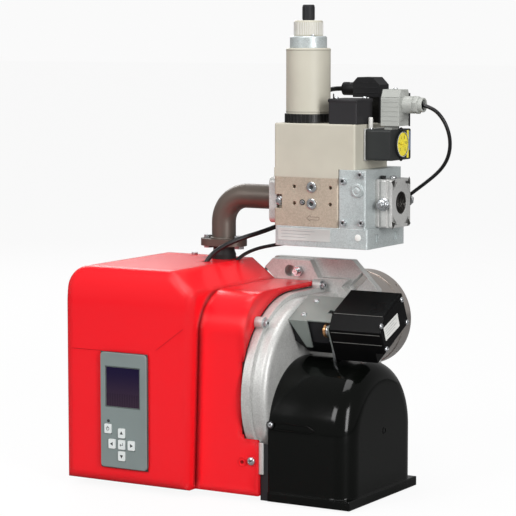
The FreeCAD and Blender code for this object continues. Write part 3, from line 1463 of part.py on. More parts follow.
def head_electrodes():
    at, length = d.collar_at, d.collar_length
    outer = d.head_pipe_radius + d.nozzle_fit + d.nozzle_wall
    collar = rod("Y", 0, at, 0, outer + d.collar_wall, length)
    pieces = [cut(collar, rod("Y", 0, at - 1, 0, outer + d.fit_gap / 3, length + 2))]
    for angle in ELECTRODES:
        x, z = on_ring(angle)
        pieces.append(rod("Y", x, d.ceramic_start, z, d.ceramic_radius, d.ceramic_end - d.ceramic_start))
        pieces.append(rod("Y", x, d.ceramic_end - 1, z, d.wire_radius, d.wire_end - d.ceramic_end + 1))
        arm = new_body(turn=Rotation(Vector(0, 1, 0), -angle))
        strip = sketch(arm, "XY", -d.arm_width / 2)
        rectangle(strip, outer + 1, at, d.electrode_ring - outer - d.ceramic_radius + 1, length)
        pad(arm, strip, d.arm_width)
        pieces.append(arm)
    keep("head_electrodes", fuse(*pieces))


# Cables, held by their glands and the cover's entries, as points along their routes
d.set(valve_cable_radius=3.25, switch_cable_radius=2.5, entry_room=2)
VALVE_CABLE = [
    (57, -31, 336), (39, -29, 336), (20, -18, 331), (6, -3, 316), (1, 7, 292), (1, 10, 262), (-1, 10, 228),
    (-6, 9, 196), (-18, 1, 168), (-38, -20, 149), (-60, -47, 137), (-83, -73, 128), (-104, -92, 116),
    (-118, -103, 101), (-124, -108, 84),
]
SWITCH_CABLE = [
    (192, -66, 317), (206, -66, 314), (219, -64, 303), (227, -60, 286), (228, -54, 267), (221, -45, 249),
    (208, -35, 234), (191, -24, 222), (171, -13, 210), (149, -3, 197), (124, 5, 181), (95, 10, 164),
    (64, 12, 149), (32, 11, 136), (1, 8, 127), (-28, -6, 120), (-54, -30, 117), (-77, -48, 111),
    (-94, -61, 99), (-102, -67, 83), (-104, -69, 70),
]


# Where a cable goes through the cover's top, with the radius of its hole
def entry(points, radius):
    height = number(d.cover_top - d.cover_wall / 2)
    runs = list(zip(points, points[1:]))
    above, below = next((run for run in runs if run[0][2] >= height > run[1][2]), runs[-1])
    share = (above[2] - height) / (above[2] - below[2])
    return above[0] + (below[0] - above[0]) * share, above[1] + (below[1] - above[1]) * share, radius


def cable_entries():
    room = d.entry_room
    return [
        entry(VALVE_CABLE, d.valve_cable_radius + room), entry(SWITCH_CABLE, d.switch_cable_radius + room),
    ]


def cables():
    for label, points, radius in (
        ("valve_cable", VALVE_CABLE, d.valve_cable_radius),
        ("switch_cable", SWITCH_CABLE, d.switch_cable_radius),
    ):
        path, radii = tube(label, points, radius)
        print(label, "radii", [round(value) for value in radii], "length", round(path.Length))


for build in (
    boiler_flange, head_plate, flange_studs, blast_tube, fan_casing_right, fan_casing_left, casing_bolts,
    inlet_cone, fan_impeller, motor_shaft, motor_housing, intake_box, damper_housing, damper_flap,
    damper_shaft, servo_lever, servo_hub, link_rod, servo_motor, servo_bracket, servo_pedestal,
    burner_cover, cover_screws, panel_frame, display_window, control_unit, keys, gas_elbow, elbow_bolts,
    pipe_seal, outlet_flange, valve_body, valve_base, inlet_block, inlet_flange, flange_bolts,
    valve_housing, coil_ring, solenoid_coil, valve_plunger, brake_ring, brake_cap, brake_stem,
    terminal_box, valve_connector, pressure_switch, pressure_dial,
    switch_connector, gas_head_pipe, gas_nozzle, diffuser_disc, head_electrodes, cables,
):
    build()
doc.recompute()

for item in doc.Objects:
    if "Invalid" in item.State or "Error" in item.State:
        raise ValueError(f"{item.Label} failed")
for label, part in parts.items():
    if part.Shape.isNull() or not part.Shape.isValid():
        raise ValueError(f"{label} has no valid shape")
os.makedirs("parts", exist_ok=True)
for label, part in parts.items():
    part.Shape.exportStep(f"parts/{label}.step")
print(len(parts), "sub-parts")
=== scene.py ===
import json
import math

import bpy
from mathutils import Matrix, Vector


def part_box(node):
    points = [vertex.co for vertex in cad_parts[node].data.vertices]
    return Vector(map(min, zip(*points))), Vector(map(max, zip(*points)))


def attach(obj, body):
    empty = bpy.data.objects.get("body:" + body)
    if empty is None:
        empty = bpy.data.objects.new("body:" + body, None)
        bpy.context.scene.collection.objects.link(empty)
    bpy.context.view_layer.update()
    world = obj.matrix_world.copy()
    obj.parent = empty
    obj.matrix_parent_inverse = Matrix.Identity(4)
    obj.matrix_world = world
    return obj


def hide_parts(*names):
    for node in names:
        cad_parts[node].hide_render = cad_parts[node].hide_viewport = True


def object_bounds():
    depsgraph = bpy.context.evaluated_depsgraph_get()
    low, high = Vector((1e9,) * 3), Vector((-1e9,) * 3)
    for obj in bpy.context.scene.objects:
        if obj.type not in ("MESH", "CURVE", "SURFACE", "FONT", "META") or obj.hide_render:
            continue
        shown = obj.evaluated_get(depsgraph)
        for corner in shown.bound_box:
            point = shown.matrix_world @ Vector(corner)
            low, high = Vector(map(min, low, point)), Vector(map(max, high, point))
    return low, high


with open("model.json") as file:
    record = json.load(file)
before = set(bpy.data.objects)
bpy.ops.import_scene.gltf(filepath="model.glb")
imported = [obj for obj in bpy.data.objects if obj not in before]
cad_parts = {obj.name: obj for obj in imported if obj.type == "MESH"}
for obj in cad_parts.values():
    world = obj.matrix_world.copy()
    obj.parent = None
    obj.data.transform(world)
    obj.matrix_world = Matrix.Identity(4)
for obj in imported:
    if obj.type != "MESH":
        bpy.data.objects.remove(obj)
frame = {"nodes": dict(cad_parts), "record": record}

# Gas burner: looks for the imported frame, in metres. +Y runs into the boiler, +X is the air-intake side.
# The pieces' dictionaries hold millimetres, shares of a size, and turns. Those of the camera, the display's
# look and the studio hold metres. Sizes in one bracket are in the order that their function takes them.
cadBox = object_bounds()
mm = 0.001
smoothAngle = math.radians(35)
print("frame loaded,", len(frame["nodes"]), "nodes")


def metres(sizes):
    return [size * mm for size in sizes]


def place(x, y, z):
    return Vector((x * mm, y * mm, z * mm))


# Camera at the photograph's viewing angle: its place, its focal length in pixels of a frame so wide, and how
# far it sees
camera = {
    "azimuth": 30.5, "elevation": 6.0, "spot": (1.47708, -2.67309, 0.41941),
    "focal": 2200.0, "frameWidth": 516.0, "sensorWidth": 36.0, "sight": 50.0,
}


def makeCamera(sizes):
    data = bpy.data.cameras.new("camera")
    data.sensor_width = sizes["sensorWidth"]
    data.lens = sizes["focal"] / sizes["frameWidth"] * data.sensor_width
    data.clip_end = sizes["sight"]
    view = bpy.data.objects.new("camera", data)
    bpy.context.scene.collection.objects.link(view)
    azimuth, elevation = math.radians(sizes["azimuth"]), math.radians(sizes["elevation"])
    level = math.cos(elevation)
    back = Vector((math.sin(azimuth) * level, -math.cos(azimuth) * level, math.sin(elevation)))
    view.location = sizes["spot"]
    view.rotation_mode = "QUATERNION"
    view.rotation_quaternion = (-back).to_track_quat("-Z", "Y")
    bpy.context.scene.camera = view


makeCamera(camera)
print("camera set")


# Shader maths: a socket that adds its own Math nodes
class Wire:
    def __init__(self, nodes, socket):
        self.nodes = nodes
        self.socket = socket

    def __add__(self, other):
        return self.nodes.maths("ADD", self, other)

    def __radd__(self, other):
        return self.nodes.maths("ADD", other, self)

    def __mul__(self, other):
        return self.nodes.maths("MULTIPLY", self, other)

    def __rmul__(self, other):
        return self.nodes.maths("MULTIPLY", other, self)

    def __lt__(self, other):
        return self.nodes.maths("LESS_THAN", self, other)

    def __gt__(self, other):
        return self.nodes.maths("GREATER_THAN", self, other)


class Nodes:
    def __init__(self, tree):
        self.tree = tree

    # any node: its type, its settings first, then what its sockets hold
    def node(self, kind, settings=None, sockets=None, out=0):
        made = self.tree.nodes.new("ShaderNode" + kind)
        for name, value in (settings or {}).items():
            if name == "stops":
                while len(made.color_ramp.elements) < len(value):
                    made.color_ramp.elements.new(0.5)
                made.color_ramp.interpolation = "EASE"
                for element, (position, color) in zip(made.color_ramp.elements, value):
                    element.position, element.color = position, color
            else:
                setattr(made, name, value)
        for socket, value in (sockets or {}).items():
            self.feed(made.inputs[socket], value)
        return Wire(self, made.outputs[out])

    def feed(self, socket, value):
        if isinstance(value, Wire):
            self.tree.links.new(value.socket, socket)
        else:
            socket.default_value = value

    def maths(self, operation, *values):
        return self.node("Math", {"operation": operation}, dict(enumerate(values)))

    def mix(self, factor, first, second):
        first = first if isinstance(first, Wire) else (*first, 1)
        second = second if isinstance(second, Wire) else (*second, 1)
        return self.node("Mix", {"data_type": "RGBA"}, {0: factor, 6: first, 7: second}, out=2)

    # one shader for what the camera sees, by this share, and another for all else
    def showCamera(self, output, plain, seen, share=1.0):
        rays = self.node("LightPath", out="Is Camera Ray")
        factor = rays if share == 1.0 else rays * share
        blend = self.node("MixShader", None, {0: factor, 1: plain, 2: seen})
        self.feed(self.tree.nodes[output].inputs["Surface"], blend)


class Finish(Nodes):
    def __init__(self, name, color, roughness, metallic=0.0, coat=0.0, specular=0.5):
        self.material = bpy.data.materials.new(name)
        self.material.use_nodes = True
        super().__init__(self.material.node_tree)
        self.shader = self.tree.nodes["Principled BSDF"]
        for socket, value in (
            ("Base Color", (*color, 1)), ("Roughness", roughness), ("Metallic", metallic),
            ("Coat Weight", coat), ("Coat Roughness", 0.08), ("Specular IOR Level", specular),
        ):
            self.shader.inputs[socket].default_value = value
        self.place = self.node("TexCoord", out="Object")

    def set(self, socket, value):
        self.feed(self.shader.inputs[socket], value)

    def noise(self, scale, detail=3, roughness=0.5, stretch=None):
        place = self.place
        if stretch:
            place = self.node("Mapping", None, {"Vector": place, "Scale": stretch})
        values = {"Vector": place, "Scale": scale, "Detail": detail, "Roughness": roughness}
        return self.node("TexNoise", None, values)

    def ramp(self, wire, low, high, start=0.0, end=1.0):
        settings = {"stops": ((low, (start,) * 3 + (1,)), (high, (end,) * 3 + (1,)))}
        return self.node("ValToRGB", settings, {0: wire})

    # the colour drifts with a cloud between two tints of itself, and the roughness is given
    def drift(self, cloud, color, tints, roughness):
        dark, pale = tints
        self.set("Base Color", self.mix(cloud, tint(color, dark), tint(color, pale)))
        self.set("Roughness", roughness)

    # rounded edges and a fine relief, from heights in metres
    def relief(self, height, depth, edge=0.0):
        sockets = {"Height": height, "Distance": depth, "Strength": 1.0}
        if edge:
            sockets["Normal"] = self.node("Bevel", {"samples": 8}, {"Radius": edge})
        self.set("Normal", self.node("Bump", None, sockets))


def tint(color, factor):
    return tuple(min(1.0, value * factor) for value in color)


# Metals
def castMetal(name, color, grain=900, roughness=0.42):
    finish = Finish(name, color, roughness, metallic=0.3)
    cloud = finish.noise(22, 4, 0.6)
    grit = finish.noise(grain, 2, 0.7)
    speckle = finish.ramp(cloud * 0.4 + finish.noise(520, 3, 0.7) * 0.6, 0.3, 0.7)
    worn = finish.ramp(grit, 0.3, 0.8, roughness - 0.08, roughness + 0.14)
    finish.drift(speckle, color, (0.78, 1.14), worn)
    finish.relief(grit + finish.noise(160, 3) * 1.6, 0.00014, 0.0012)
    return finish.material


def sheetMetal(name, color, roughness, metallic=0.9):
    finish = Finish(name, color, roughness, metallic=metallic)
    cloud = finish.noise(14, 3)
    worn = finish.ramp(cloud, 0.25, 0.8, roughness - 0.03, roughness + 0.05)
    finish.drift(finish.ramp(cloud, 0.3, 0.75), color, (0.86, 1.08), worn)
    finish.relief(finish.noise(260, 3, 0.6), 0.000012, 0.0005)
    return finish.material


# rings of polish round Y, with a warm cast where the heat has been
def burnished(name, color):
    finish = Finish(name, color, 0.3, metallic=1.0)
    rings = finish.noise(70, 3, 0.55, (0.3, 5.0, 0.3))
    heat = finish.ramp(finish.noise(9, 2), 0.3, 0.75)
    warm = finish.mix(heat, tint(color, 0.95), (color[0] * 1.03, color[1] * 0.96, color[2] * 0.9))
    finish.set("Base Color", finish.mix(finish.ramp(rings, 0.25, 0.85), warm, tint(color, 1.16)))
    finish.set("Roughness", finish.ramp(heat, 0.2, 0.8, 0.27, 0.33))
    finish.relief(rings, 0.000012, 0.0006)
    return finish.material


# Plastics and paint
def moulded(name, color, roughness, grain=1400, depth=0.00003, edge=0.0008, coat=0.0, specular=0.4):
    finish = Finish(name, color, roughness, coat=coat, specular=specular)
    cloud = finish.noise(18, 2)
    worn = finish.ramp(cloud, 0.25, 0.75, roughness - 0.04, roughness + 0.06)
    finish.drift(finish.ramp(cloud, 0.25, 0.75), color, (0.95, 1.05), worn)
    finish.relief(finish.noise(grain, 2, 0.6), depth, edge)
    return finish.material


# the wide edge shades the cover's corners as soft curves
def glossPaint(name, color):
    finish = Finish(name, color, 0.24, coat=0.2, specular=0.3)
    smudge = finish.noise(3, 1)
    finish.drift(smudge, color, (0.97, 1.02), smudge * 0.08 + 0.2)
    finish.relief(finish.noise(420, 2, 0.5), 0.000012, 0.014)
    return finish.material


# a display that is off: nearly black, a little lighter towards its lower edge, which is so far below the
# origin, with faint upright segments
displayLook = {
    "lowEdgeDrop": 0.092, "fadePerMetre": 17.5, "segments": 1600, "segmentTop": -0.072,
    "segmentShare": 0.35, "glow": (0.040, 0.022, 0.040),
}


def darkDisplay(name, color, look):
    finish = Finish(name, color, 0.14, coat=0.1, specular=0.15)
    across = finish.node("SeparateXYZ", None, {0: finish.place}, out="X")
    height = Wire(finish, across.socket.node.outputs["Z"])
    fade = finish.ramp((height + look["lowEdgeDrop"]) * look["fadePerMetre"], 0.0, 1.0, 1.0, 0.0)
    stripes = finish.maths("SINE", across * look["segments"]) * 0.5 + 0.5
    glow = finish.mix(fade, color, look["glow"])
    segments = stripes * (height < look["segmentTop"]) * look["segmentShare"]
    finish.set("Base Color", finish.mix(segments, glow, tint(color, 0.3)))
    finish.set("Roughness", finish.ramp(finish.noise(60), 0.3, 0.7, 0.12, 0.18))
    finish.relief(finish.noise(200, 2), 0.000004)
    return finish.material


print("making finishes")
finishes = {
    "cast_alloy": castMetal("castAlloy", (0.54, 0.54, 0.525)),
    "zinc_steel": sheetMetal("zincSteel", (0.56, 0.575, 0.59), 0.28),
    "burnished_steel": burnished("burnishedSteel", (0.60, 0.565, 0.54)),
    "sheet_steel": sheetMetal("sheetSteel", (0.62, 0.63, 0.64), 0.34),
    "galvanised": sheetMetal("galvanisedSteel", (0.64, 0.66, 0.68), 0.36),
    "bright_steel": sheetMetal("brightSteel", (0.72, 0.72, 0.72), 0.2),
    "motor_alloy": castMetal("motorAlloy", (0.46, 0.47, 0.49)),
    "gloss_black": moulded("glossBlack", (0.002, 0.0024, 0.002), 0.13, 300, 0.000006, 0.004, 0.04, 0.15),
    "black_plastic": moulded("blackPlastic", (0.016, 0.016, 0.018), 0.45, specular=0.3),
    "servo_black": moulded("servoBlack", (0.002, 0.002, 0.0022), 0.3, specular=0.1),
    "brass": sheetMetal("turnedBrass", (0.62, 0.34, 0.16), 0.3),
    "zinc_plate": sheetMetal("zincPlate", (0.30, 0.335, 0.315), 0.3, metallic=0.5),
    "red_paint": glossPaint("redPaint", (0.90, 0.008, 0.016)),
    "panel_grey": moulded("panelGrey", (0.205, 0.245, 0.24), 0.4),
    "display_glass": darkDisplay("displayGlass", (0.008, 0.004, 0.030), displayLook),
    "key_white": moulded("keyWhite", (0.72, 0.76, 0.75), 0.4),
    "pipe_steel": sheetMetal("pipeSteel", (0.12, 0.098, 0.082), 0.4, metallic=0.35),
    "black_rubber": moulded("blackRubber", (0.010, 0.010, 0.010), 0.6, specular=0.3),
    "valve_alloy": castMetal("valveAlloy", (0.49, 0.41, 0.325), 1100, 0.42),
    "block_alloy": castMetal("blockAlloy", (0.52, 0.565, 0.565), 1100, 0.34),
    "beige_plastic": moulded("beigePlastic", (0.52, 0.495, 0.415), 0.42),
    "ribbed_black": moulded("ribbedBlack", (0.008, 0.008, 0.008), 0.34, specular=0.4),
    "terminal_black": moulded("terminalBlack", (0.024, 0.023, 0.025), 0.42, specular=0.2),
    "connector_black": moulded("connectorBlack", (0.011, 0.011, 0.012), 0.36, specular=0.2),
    "switch_black": moulded("switchBlack", (0.030, 0.032, 0.032), 0.38, specular=0.2),
    "dial_yellow": moulded("dialYellow", (0.95, 0.80, 0.06), 0.35),
    "connector_grey": moulded("connectorGrey", (0.39, 0.40, 0.375), 0.42),
    "cable_black": moulded("cableBlack", (0.008, 0.008, 0.009), 0.34, specular=0.35),
    "head_steel": sheetMetal("headSteel", (0.5, 0.48, 0.45), 0.32),
    "ceramic": moulded("ceramicWhite", (0.80, 0.77, 0.70), 0.2, 500, 0.00002, 0.0005, 0.4),
    "label_white": moulded("labelWhite", (0.80, 0.80, 0.77), 0.45),
    "clear_plastic": moulded("clearPlastic", (0.70, 0.72, 0.70), 0.15, 300, 0.00001, 0.0, 0.5),
    # dark marks: print on the dial and keys, other small dark parts, and painted shade in screw sockets and
    # slots and in the switch nut's groove
    "mark_dark": moulded("darkMarkAndShade", (0.03, 0.035, 0.035), 0.5),
    "label_blue": moulded("labelBlue", (0.16, 0.22, 0.34), 0.4),
    "engraved": moulded("engravedMark", (0.20, 0.155, 0.125), 0.6),
    # the bore's liner and the flange's corner pockets: painted shade
    "recess_painted_shade": moulded("recessPaintedShade", (0.035, 0.033, 0.030), 0.5),
    # thread crests darker than the flange's steel: painted shade of the bore
    "shaded_thread_crest": sheetMetal("threadCrest", (0.20, 0.19, 0.175), 0.3),
    # a lighter grey along the servo's seams: painted highlights
    "servo_highlight": moulded("servoPaintedHighlight", (0.16, 0.16, 0.15), 0.3),
    "label_silver": sheetMetal("labelSilver", (0.60, 0.61, 0.59), 0.42, metallic=0.2),
    "mark_grey": moulded("markGrey", (0.30, 0.31, 0.33), 0.5),
    "cap_white": moulded("capWhite", (0.74, 0.73, 0.70), 0.36),
    "beige_shade": moulded("beigeShade", (0.40, 0.38, 0.32), 0.45),
    "panel_shade": moulded("panelShade", (0.13, 0.155, 0.15), 0.42),
    # a darker red: painted shade in the cover's dimple and along its creases
    "red_painted_shade": glossPaint("redPaintedShade", (0.42, 0.004, 0.008)),
}
# the valve's base is of the same bright alloy as its inlet block
repainted = {"valve_base": "block_alloy"}
for row in frame["record"]["subparts"]:
    node = frame["nodes"][row["node"]]
    node.data.materials.clear()
    node.data.materials.append(finishes[repainted.get(row["node"], row["material_slot"])])


# Cables, on the points of their routes in millimetres; their diameters and lengths are in metres
cables = {
    "valve_cable": {
        "diameter": 6.5 * mm, "length": 0.400,
        "points": [
            (57, -31, 336), (39, -29, 336), (20, -18, 331), (6, -3, 316), (1, 7, 292), (1, 10, 262),
            (-1, 10, 228), (-6, 9, 196), (-18, 1, 168), (-38, -20, 149), (-60, -47, 137), (-83, -73, 128),
            (-104, -92, 116), (-118, -103, 101), (-124, -108, 84),
        ],
    },
    "switch_cable": {
        "diameter": 5.0 * mm, "length": 0.509,
        "points": [
            (192, -66, 317), (206, -66, 314), (219, -64, 303), (227, -60, 286), (228, -54, 267),
            (221, -45, 249), (208, -35, 234), (191, -24, 222), (171, -13, 210), (149, -3, 197),
            (124, 5, 181), (95, 10, 164), (64, 12, 149), (32, 11, 136), (1, 8, 127), (-28, -6, 120),
            (-54, -30, 117), (-77, -48, 111), (-94, -61, 99), (-102, -67, 83), (-104, -69, 70),
        ],
    },
}


def makeCable(node, sizes):
    curve = bpy.data.curves.new(node + "Line", "CURVE")
    curve.dimensions = "3D"
    curve.bevel_depth = sizes["diameter"] / 2
    curve.bevel_resolution = 6
    curve.resolution_u = 12
    curve.use_fill_caps = True
    spline = curve.splines.new("NURBS")
    spline.points.add(len(sizes["points"]) - 1)
    for point, spot in zip(spline.points, sizes["points"]):
        point.co = (*place(*spot), 1)
    spline.order_u = 3
    spline.use_endpoint_u = True
    piece = bpy.data.objects.new(node + "Sheath", curve)
    bpy.context.scene.collection.objects.link(piece)
    curve.materials.append(finishes["cable_black"])
    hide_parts(node)
    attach(piece, "burner")
    tuple(place(*sizes["points"][0]))


for node, sizes in cables.items():
    makeCable(node, sizes)
print("cables laid")


# Modelling helpers
def clearSelection():
    active = bpy.context.view_layer.objects.active
    if active and active.mode != "OBJECT":
        bpy.ops.object.mode_set(mode="OBJECT")
    bpy.ops.object.select_all(action="DESELECT")


def makeActive(piece):
    clearSelection()
    piece.select_set(True)
    bpy.context.view_layer.objects.active = piece


def newCylinder(radius, height, sides):
    clearSelection()
    bpy.ops.mesh.primitive_cylinder_add(
        vertices=sides, radius=radius, depth=height, location=(0, 0, height / 2),
    )
    bpy.ops.object.transform_apply(location=True, rotation=True, scale=True)
    return bpy.context.object


def newBlock(x, y, z):
    clearSelection()
    bpy.ops.mesh.primitive_cube_add(size=1, location=(0, 0, z / 2), scale=(x, y, z))
    bpy.ops.object.transform_apply(location=True, rotation=True, scale=True)
    return bpy.context.object


def pickFaces(piece, test):
    makeActive(piece)
    bpy.ops.object.mode_set(mode="EDIT")
    bpy.ops.mesh.select_mode(type="FACE")
    bpy.ops.mesh.select_all(action="DESELECT")
    bpy.ops.object.mode_set(mode="OBJECT")
    for face in piece.data.polygons:
        face.select = test(face)
    bpy.ops.object.mode_set(mode="EDIT")


def raiseTop(piece, inset, rise):
    pickFaces(piece, lambda face: face.normal.z > 0.99)
    bpy.ops.mesh.inset(thickness=inset)
    bpy.ops.transform.translate(value=(0, 0, rise))
    bpy.ops.object.mode_set(mode="OBJECT")
    return piece


def roundEdges(piece, width, segments=2):
    makeActive(piece)
    rounding = piece.modifiers.new("rounding", "BEVEL")
    rounding.width, rounding.segments, rounding.angle_limit = width, segments, math.radians(30)
    bpy.ops.object.modifier_apply(modifier=rounding.name)
    bpy.ops.object.shade_smooth_by_angle(angle=smoothAngle)
    return piece


def discard(*models):
    for model in models:
        bpy.data.objects.remove(model)


# one piece minus another, which is then gone
def carve(piece, tool):
    makeActive(piece)
    cut = piece.modifiers.new("cut", "BOOLEAN")
    cut.operation, cut.object, cut.solver = "DIFFERENCE", tool, "EXACT"
    bpy.ops.object.modifier_apply(modifier=cut.name)
    discard(tool)
    return piece


def joinAll(pieces):
    makeActive(pieces[0])
    for piece in pieces[1:]:
        piece.select_set(True)
    bpy.ops.object.join()
    return pieces[0]


# a turned or many-sided stud whose top is stepped or bevelled
def newStud(sides, radius, height, inset, rise):
    return raiseTop(newCylinder(radius, height, sides), inset, rise)


def newDisc(radius, height, inset=0.2, rise=0.25):
    disc = newStud(40, radius, height * (1 - rise), radius * inset, height * rise)
    return roundEdges(disc, height * 0.12)


# a plate with a fine raised border, for labels that stay bare
def newPlate(width, height, thickness, border):
    plate = raiseTop(newBlock(width, height, thickness), border, -thickness * 0.3)
    return roundEdges(plate, thickness * 0.2)


def newRing(outer, inner, height, sides=48):
    ring = newCylinder(outer, height, sides)
    core = newCylinder(inner, height * 3, sides)
    core.data.transform(Matrix.Translation((0, 0, -height)))
    return carve(ring, core)


# a turned grip: every second side face is a raised rib
def newKnob(radius, height, proud, ridges):
    knob = newCylinder(radius, height, ridges * 2)
    step = math.pi / ridges

    def onRib(face):
        angle = math.atan2(face.center.y, face.center.x) % (2 * math.pi)
        return abs(face.normal.z) < 0.1 and int(angle / step) % 2 == 0

    pickFaces(knob, onRib)
    bpy.ops.mesh.inset(thickness=radius * step * 0.12, depth=proud, use_individual=True)
    bpy.ops.object.mode_set(mode="OBJECT")
    return knob


# raised lines along a row of points, given in the plane that they lie in
def newStroke(points, width, height):
    runs = []
    for (x, y), (nextX, nextY) in zip(points, points[1:]):
        length = math.hypot(nextX - x, nextY - y)
        run = newBlock(length + width, width, height)
        turn = Matrix.Rotation(math.atan2(nextY - y, nextX - x), 4, "Z")
        run.data.transform(Matrix.Translation(((x + nextX) / 2, (y + nextY) / 2, 0)) @ turn)
        runs.append(run)
    return roundEdges(joinAll(runs), min(width, height) * 0.25, 1)


# the same in millimetres, the line being its width and height
def newLine(points, line):
    return newStroke([metres(point) for point in points], *metres(line))


def newRail(half, line):
    return newLine(((-half, 0), (half, 0)), line)


def newNumber(text, size, height):
    clearSelection()
    bpy.ops.object.text_add()
    words = bpy.context.object
    words.data.body, words.data.size, words.data.extrude = text, size, height
    words.data.align_x = words.data.align_y = "CENTER"
    bpy.ops.object.convert(target="MESH")
    return bpy.context.object


# each turn takes a model's up to the named direction, and keeps its own Y upright where it can
turns = {
    "+X": Matrix(((0, 0, 1, 0), (1, 0, 0, 0), (0, 1, 0, 0), (0, 0, 0, 1))),
    "-X": Matrix(((0, 0, -1, 0), (-1, 0, 0, 0), (0, 1, 0, 0), (0, 0, 0, 1))),
    "+Y": Matrix(((-1, 0, 0, 0), (0, 0, 1, 0), (0, 1, 0, 0), (0, 0, 0, 1))),
    "-Y": Matrix.Rotation(math.pi / 2, 4, "X"),
    "+Z": Matrix.Identity(4),
}


# a copy of a model that stands on its origin, with the place in its own mesh, riding on a body
def seat(model, name, at, axis="+Z", slot="zinc_steel", body="burner", spin=0.0, finish=None):
    piece = bpy.data.objects.new(name, model.data.copy())
    bpy.context.scene.collection.objects.link(piece)
    turn = turns[axis] if isinstance(axis, str) else axis
    piece.data.transform(Matrix.Translation(Vector(at)) @ turn @ Matrix.Rotation(spin, 4, "Z"))
    shadedFaces = [face.material_index for face in piece.data.polygons]
    piece.data.materials.clear()
    piece.data.materials.append(finishes[finish or slot])
    # faces marked inside a socket or slot take the dark material, as painted shade
    if any(shadedFaces):
        piece.data.materials.append(finishes["mark_dark"])
        piece.data.polygons.foreach_set("material_index", shadedFaces)
    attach(piece, body)


def seatOnce(model, *where, **settings):
    seat(model, *where, **settings)
    discard(model)


# middle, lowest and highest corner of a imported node
def middleOf(node):
    low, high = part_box(node)
    return (Vector(low) + Vector(high)) / 2, Vector(low), Vector(high)


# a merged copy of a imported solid, which stands for it once it is shaped further
def standIn(node):
    piece = bpy.data.objects.new(node + "Shell", frame["nodes"][node].data.copy())
    bpy.context.scene.collection.objects.link(piece)
    makeActive(piece)
    bpy.ops.object.mode_set(mode="EDIT")
    bpy.ops.mesh.select_all(action="SELECT")
    bpy.ops.mesh.remove_doubles(threshold=0.01 * mm)
    bpy.ops.mesh.dissolve_limited(angle_limit=math.radians(0.5))
    bpy.ops.object.mode_set(mode="OBJECT")
    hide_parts(node)
    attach(piece, "burner")
    return piece


def finishShell(shell, slot):
    shell.data.materials.clear()
    shell.data.materials.append(finishes[slot])
    makeActive(shell)
    bpy.ops.object.shade_smooth_by_angle(angle=smoothAngle)


# Fasteners, as shares of their radius, height or width across flats. The faces inside a socket or a slot,
# nearer the middle and lower than "dark" says, take the second, dark material as painted shade.
socketShape = {"sides": 28, "rim": 0.16, "socket": 0.5, "floor": 0.45, "edge": 0.09, "dark": (0.47, 0.97)}
boltShape = {
    "inset": 0.07, "rise": 0.035, "edge": 0.03, "washer": 0.22, "washerEdge": 0.05, "washerSides": 36,
}
panShape = {
    "sides": 28, "side": 0.55, "steps": ((0.22, 0.3), (0.3, 0.1)), "slot": (1.1, 0.2), "floor": 0.55,
    "edge": 0.05, "dark": (0.54, 0.72),
}


# the faces deep in a socket or slot take the dark material: painted shade of the recess
def paintRecessShade(piece, radius, height, limits):
    reach, top = limits
    for face in piece.data.polygons:
        inside = face.center.xy.length < radius * reach and face.center.z < height * top
        face.material_index = 1 if inside else 0
    return piece


def makeSocketScrew(radius, height):
    shape = socketShape
    screw = newStud(shape["sides"], radius, height, radius * shape["rim"], 0.0)
    socket = newCylinder(radius * shape["socket"], height, 6)
    socket.data.transform(Matrix.Translation((0, 0, height * shape["floor"])))
    roundEdges(carve(screw, socket), radius * shape["edge"])
    return paintRecessShade(screw, radius, height, shape["dark"])


def makeHexBolt(across, height, washer):
    shape = boltShape
    head = newStud(6, across / math.sqrt(3), height, across * shape["inset"], across * shape["rise"])
    roundEdges(head, across * shape["edge"])
    ring = newCylinder(washer, height * shape["washer"], shape["washerSides"])
    roundEdges(ring, height * shape["washerEdge"])
    return joinAll([head, ring])


def makePanScrew(radius, height):
    shape = panShape
    head = newCylinder(radius, height * shape["side"], shape["sides"])
    for inset, rise in shape["steps"]:
        raiseTop(head, radius * inset, height * rise)
    length, width = shape["slot"]
    for angle in (0, math.pi / 2):
        slot = newBlock(radius * length, radius * width, height)
        lift = Matrix.Translation((0, 0, height * shape["floor"]))
        slot.data.transform(Matrix.Rotation(angle, 4, "Z") @ lift)
        carve(head, slot)
    roundEdges(head, radius * shape["edge"])
    return paintRecessShade(head, radius, height, shape["dark"])


socketScrew = makeSocketScrew(4.2 * mm, 4.5 * mm)
panScrew = makePanScrew(3.6 * mm, 2.6 * mm)
print("fasteners modelled")

# Valve front: fasteners, marks and a bare rating plate with rules, at their places across and up
valveFront = {
    "face": -109.0, "screws": ((124, 225), (98.2, 215.9), (98.9, 160.4), (125.9, 161.2)), "screwSpin": 0.4,
    "plugs": ((50.5, 206.2), (50.5, 183.8)), "plugFace": -110.0, "plug": (6.6, 1.9), "plugSpin": 0.3,
    "washer": (7.4, 6.2, 0.9), "bleed": (35.8, 185.5), "bleedScrew": (2.6, 1.6),
    "bleedRing": (3.9, 2.7, 0.7), "boss": (119, 204), "bossRing": (7.4, 5.6, 2.4), "bossMiddle": (4.2, 2.6),
    "arrow": (51.8, 164.4), "arrowHalf": 9.5, "arrowShape": (0.45, 0.42, 0.2), "arrowLine": (0.55, 0.12),
    "dot": (120.1, 141.4), "dotSize": (4.6, 0.5), "dotBorder": 0.08,
    "label": (38.5, 142.0), "labelSize": (80, 17, 0.5, 0.8), "rules": 3, "ruleStart": -0.44,
    "ruleEnd": 0.2, "ruleShorter": 0.08, "ruleLine": (0.45, 0.06), "ruleFace": 0.36, "ruleTop": 4.4,
    "ruleStep": 4.2,
}


